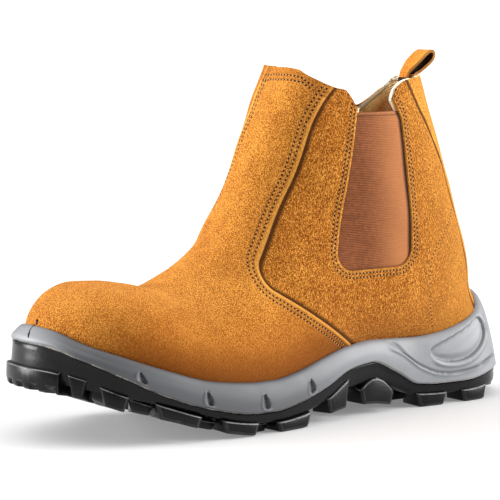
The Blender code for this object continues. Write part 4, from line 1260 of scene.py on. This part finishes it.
def loopGrid():
    points = np.array(loopForm["path"])
    line = Outline(points, points[1] - points[0], points[-1] - points[-2])
    flat = line.spot(np.linspace(0, 1, loopForm["along"]))
    back = float(eased(lastForm["backSeam"]["z"], lastForm["backSeam"]["x"], loopForm["top"]))
    y = np.linspace(-0.5, 0.5, loopForm["across"])[None, :] * loopForm["width"]
    wide = 1 - loopForm["pinch"] * (1 - fade(*loopForm["pinched"], flat[:, 1:]))  # gathered at its sewn ends
    z = loopForm["top"] + flat[:, 1:] + loopForm["curl"] * (np.abs(y) - 3)
    return np.stack([back + flat[:, :1] + 0 * y, loopForm["middle"] + y * wide, z], -1)


bm = gridMesh(loopGrid())[0]
bmesh.ops.recalc_face_normals(bm, faces=bm.faces)
place("pullLoop", bm, ["loopHoleShade", "loopSuede", "loopEdge"], ("pull_loop",), loopForm["thick"],
      side=0)

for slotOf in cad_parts["insole"].material_slots:
    slotOf.material = finishes["feltBoard"]
print("pieces made")

stage = {"size": 1000.0, "tones": ((0.56, 0.56, 0.56), (0.58, 0.58, 0.58)), "glow": 0.2, "world": 0.32}
bm = bmesh.new()
bmesh.ops.create_grid(bm, x_segments=1, y_segments=1, size=stage["size"] / 2)
mesh = bpy.data.meshes.new("floor")
bm.to_mesh(mesh)
bm.free()
floor = linked("floor", mesh)
pale = Finish("paleFloor", {"Roughness": 0.9, "Specular IOR Level": 0.1, "Emission Color": (1, 1, 1, 1),
                            "Emission Strength": stage["glow"]})
pale.feed("Base Color", pale.ramp(pale.noise(3, 2), list(enumerate(stage["tones"]))))
mesh.materials.append(pale.material)

shot = {"azimuth": -35, "elevation": 6.5, "distance": 1.2, "aim": (0.004, 0, 0.085), "right": -0.0129,
        "up": 0.0037, "sensor": 36, "lens": 158.976}
a, e = math.radians(shot["azimuth"]), math.radians(shot["elevation"])
back = Vector((math.sin(a) * math.cos(e), -math.cos(a) * math.cos(e), math.sin(e)))
right = Vector((math.cos(a), math.sin(a), 0))
up = back.cross(right)

world = bpy.data.worlds.new("studio")
world.use_nodes = True
sky = world.node_tree.nodes["Background"].inputs
sky["Color"].default_value, sky["Strength"].default_value = (1, 1, 1, 1), stage["world"]
bpy.context.scene.world = world
bpy.context.scene.view_settings.view_transform = "Standard"

lamps = {  # way to the lamp (right, up, towards the viewer), strength, softness in degrees
    "key": ((-0.32, 0.93, -0.15), 2.9, 80),
    "side": ((0.95, 0.34, -0.10), 4.1, 35),
    "left": ((-0.95, 0.20, -0.08), 4.4, 28),
}
for name, (way, strength, soft) in lamps.items():
    light = bpy.data.lights.new(name, "SUN")
    light.energy, light.angle = strength, math.radians(soft)
    lamp = linked(name, light)
    way = right * way[0] + Vector((0, 0, way[1])) + Vector((back.x, back.y, 0)) * way[2]
    lamp.rotation_mode = "QUATERNION"
    lamp.rotation_quaternion = (-way).to_track_quat("-Z", "Y")
    lamp.location = way

lens = bpy.data.cameras.new("camera")
lens.sensor_width, lens.lens = shot["sensor"], shot["lens"]
camera = linked("camera", lens)
pose = Matrix((right, up, back)).transposed().to_4x4()
pose.translation = Vector(shot["aim"]) + right * shot["right"] + up * shot["up"] + back * shot["distance"]
camera.matrix_world = pose
bpy.context.scene.camera = camera
print("camera set")
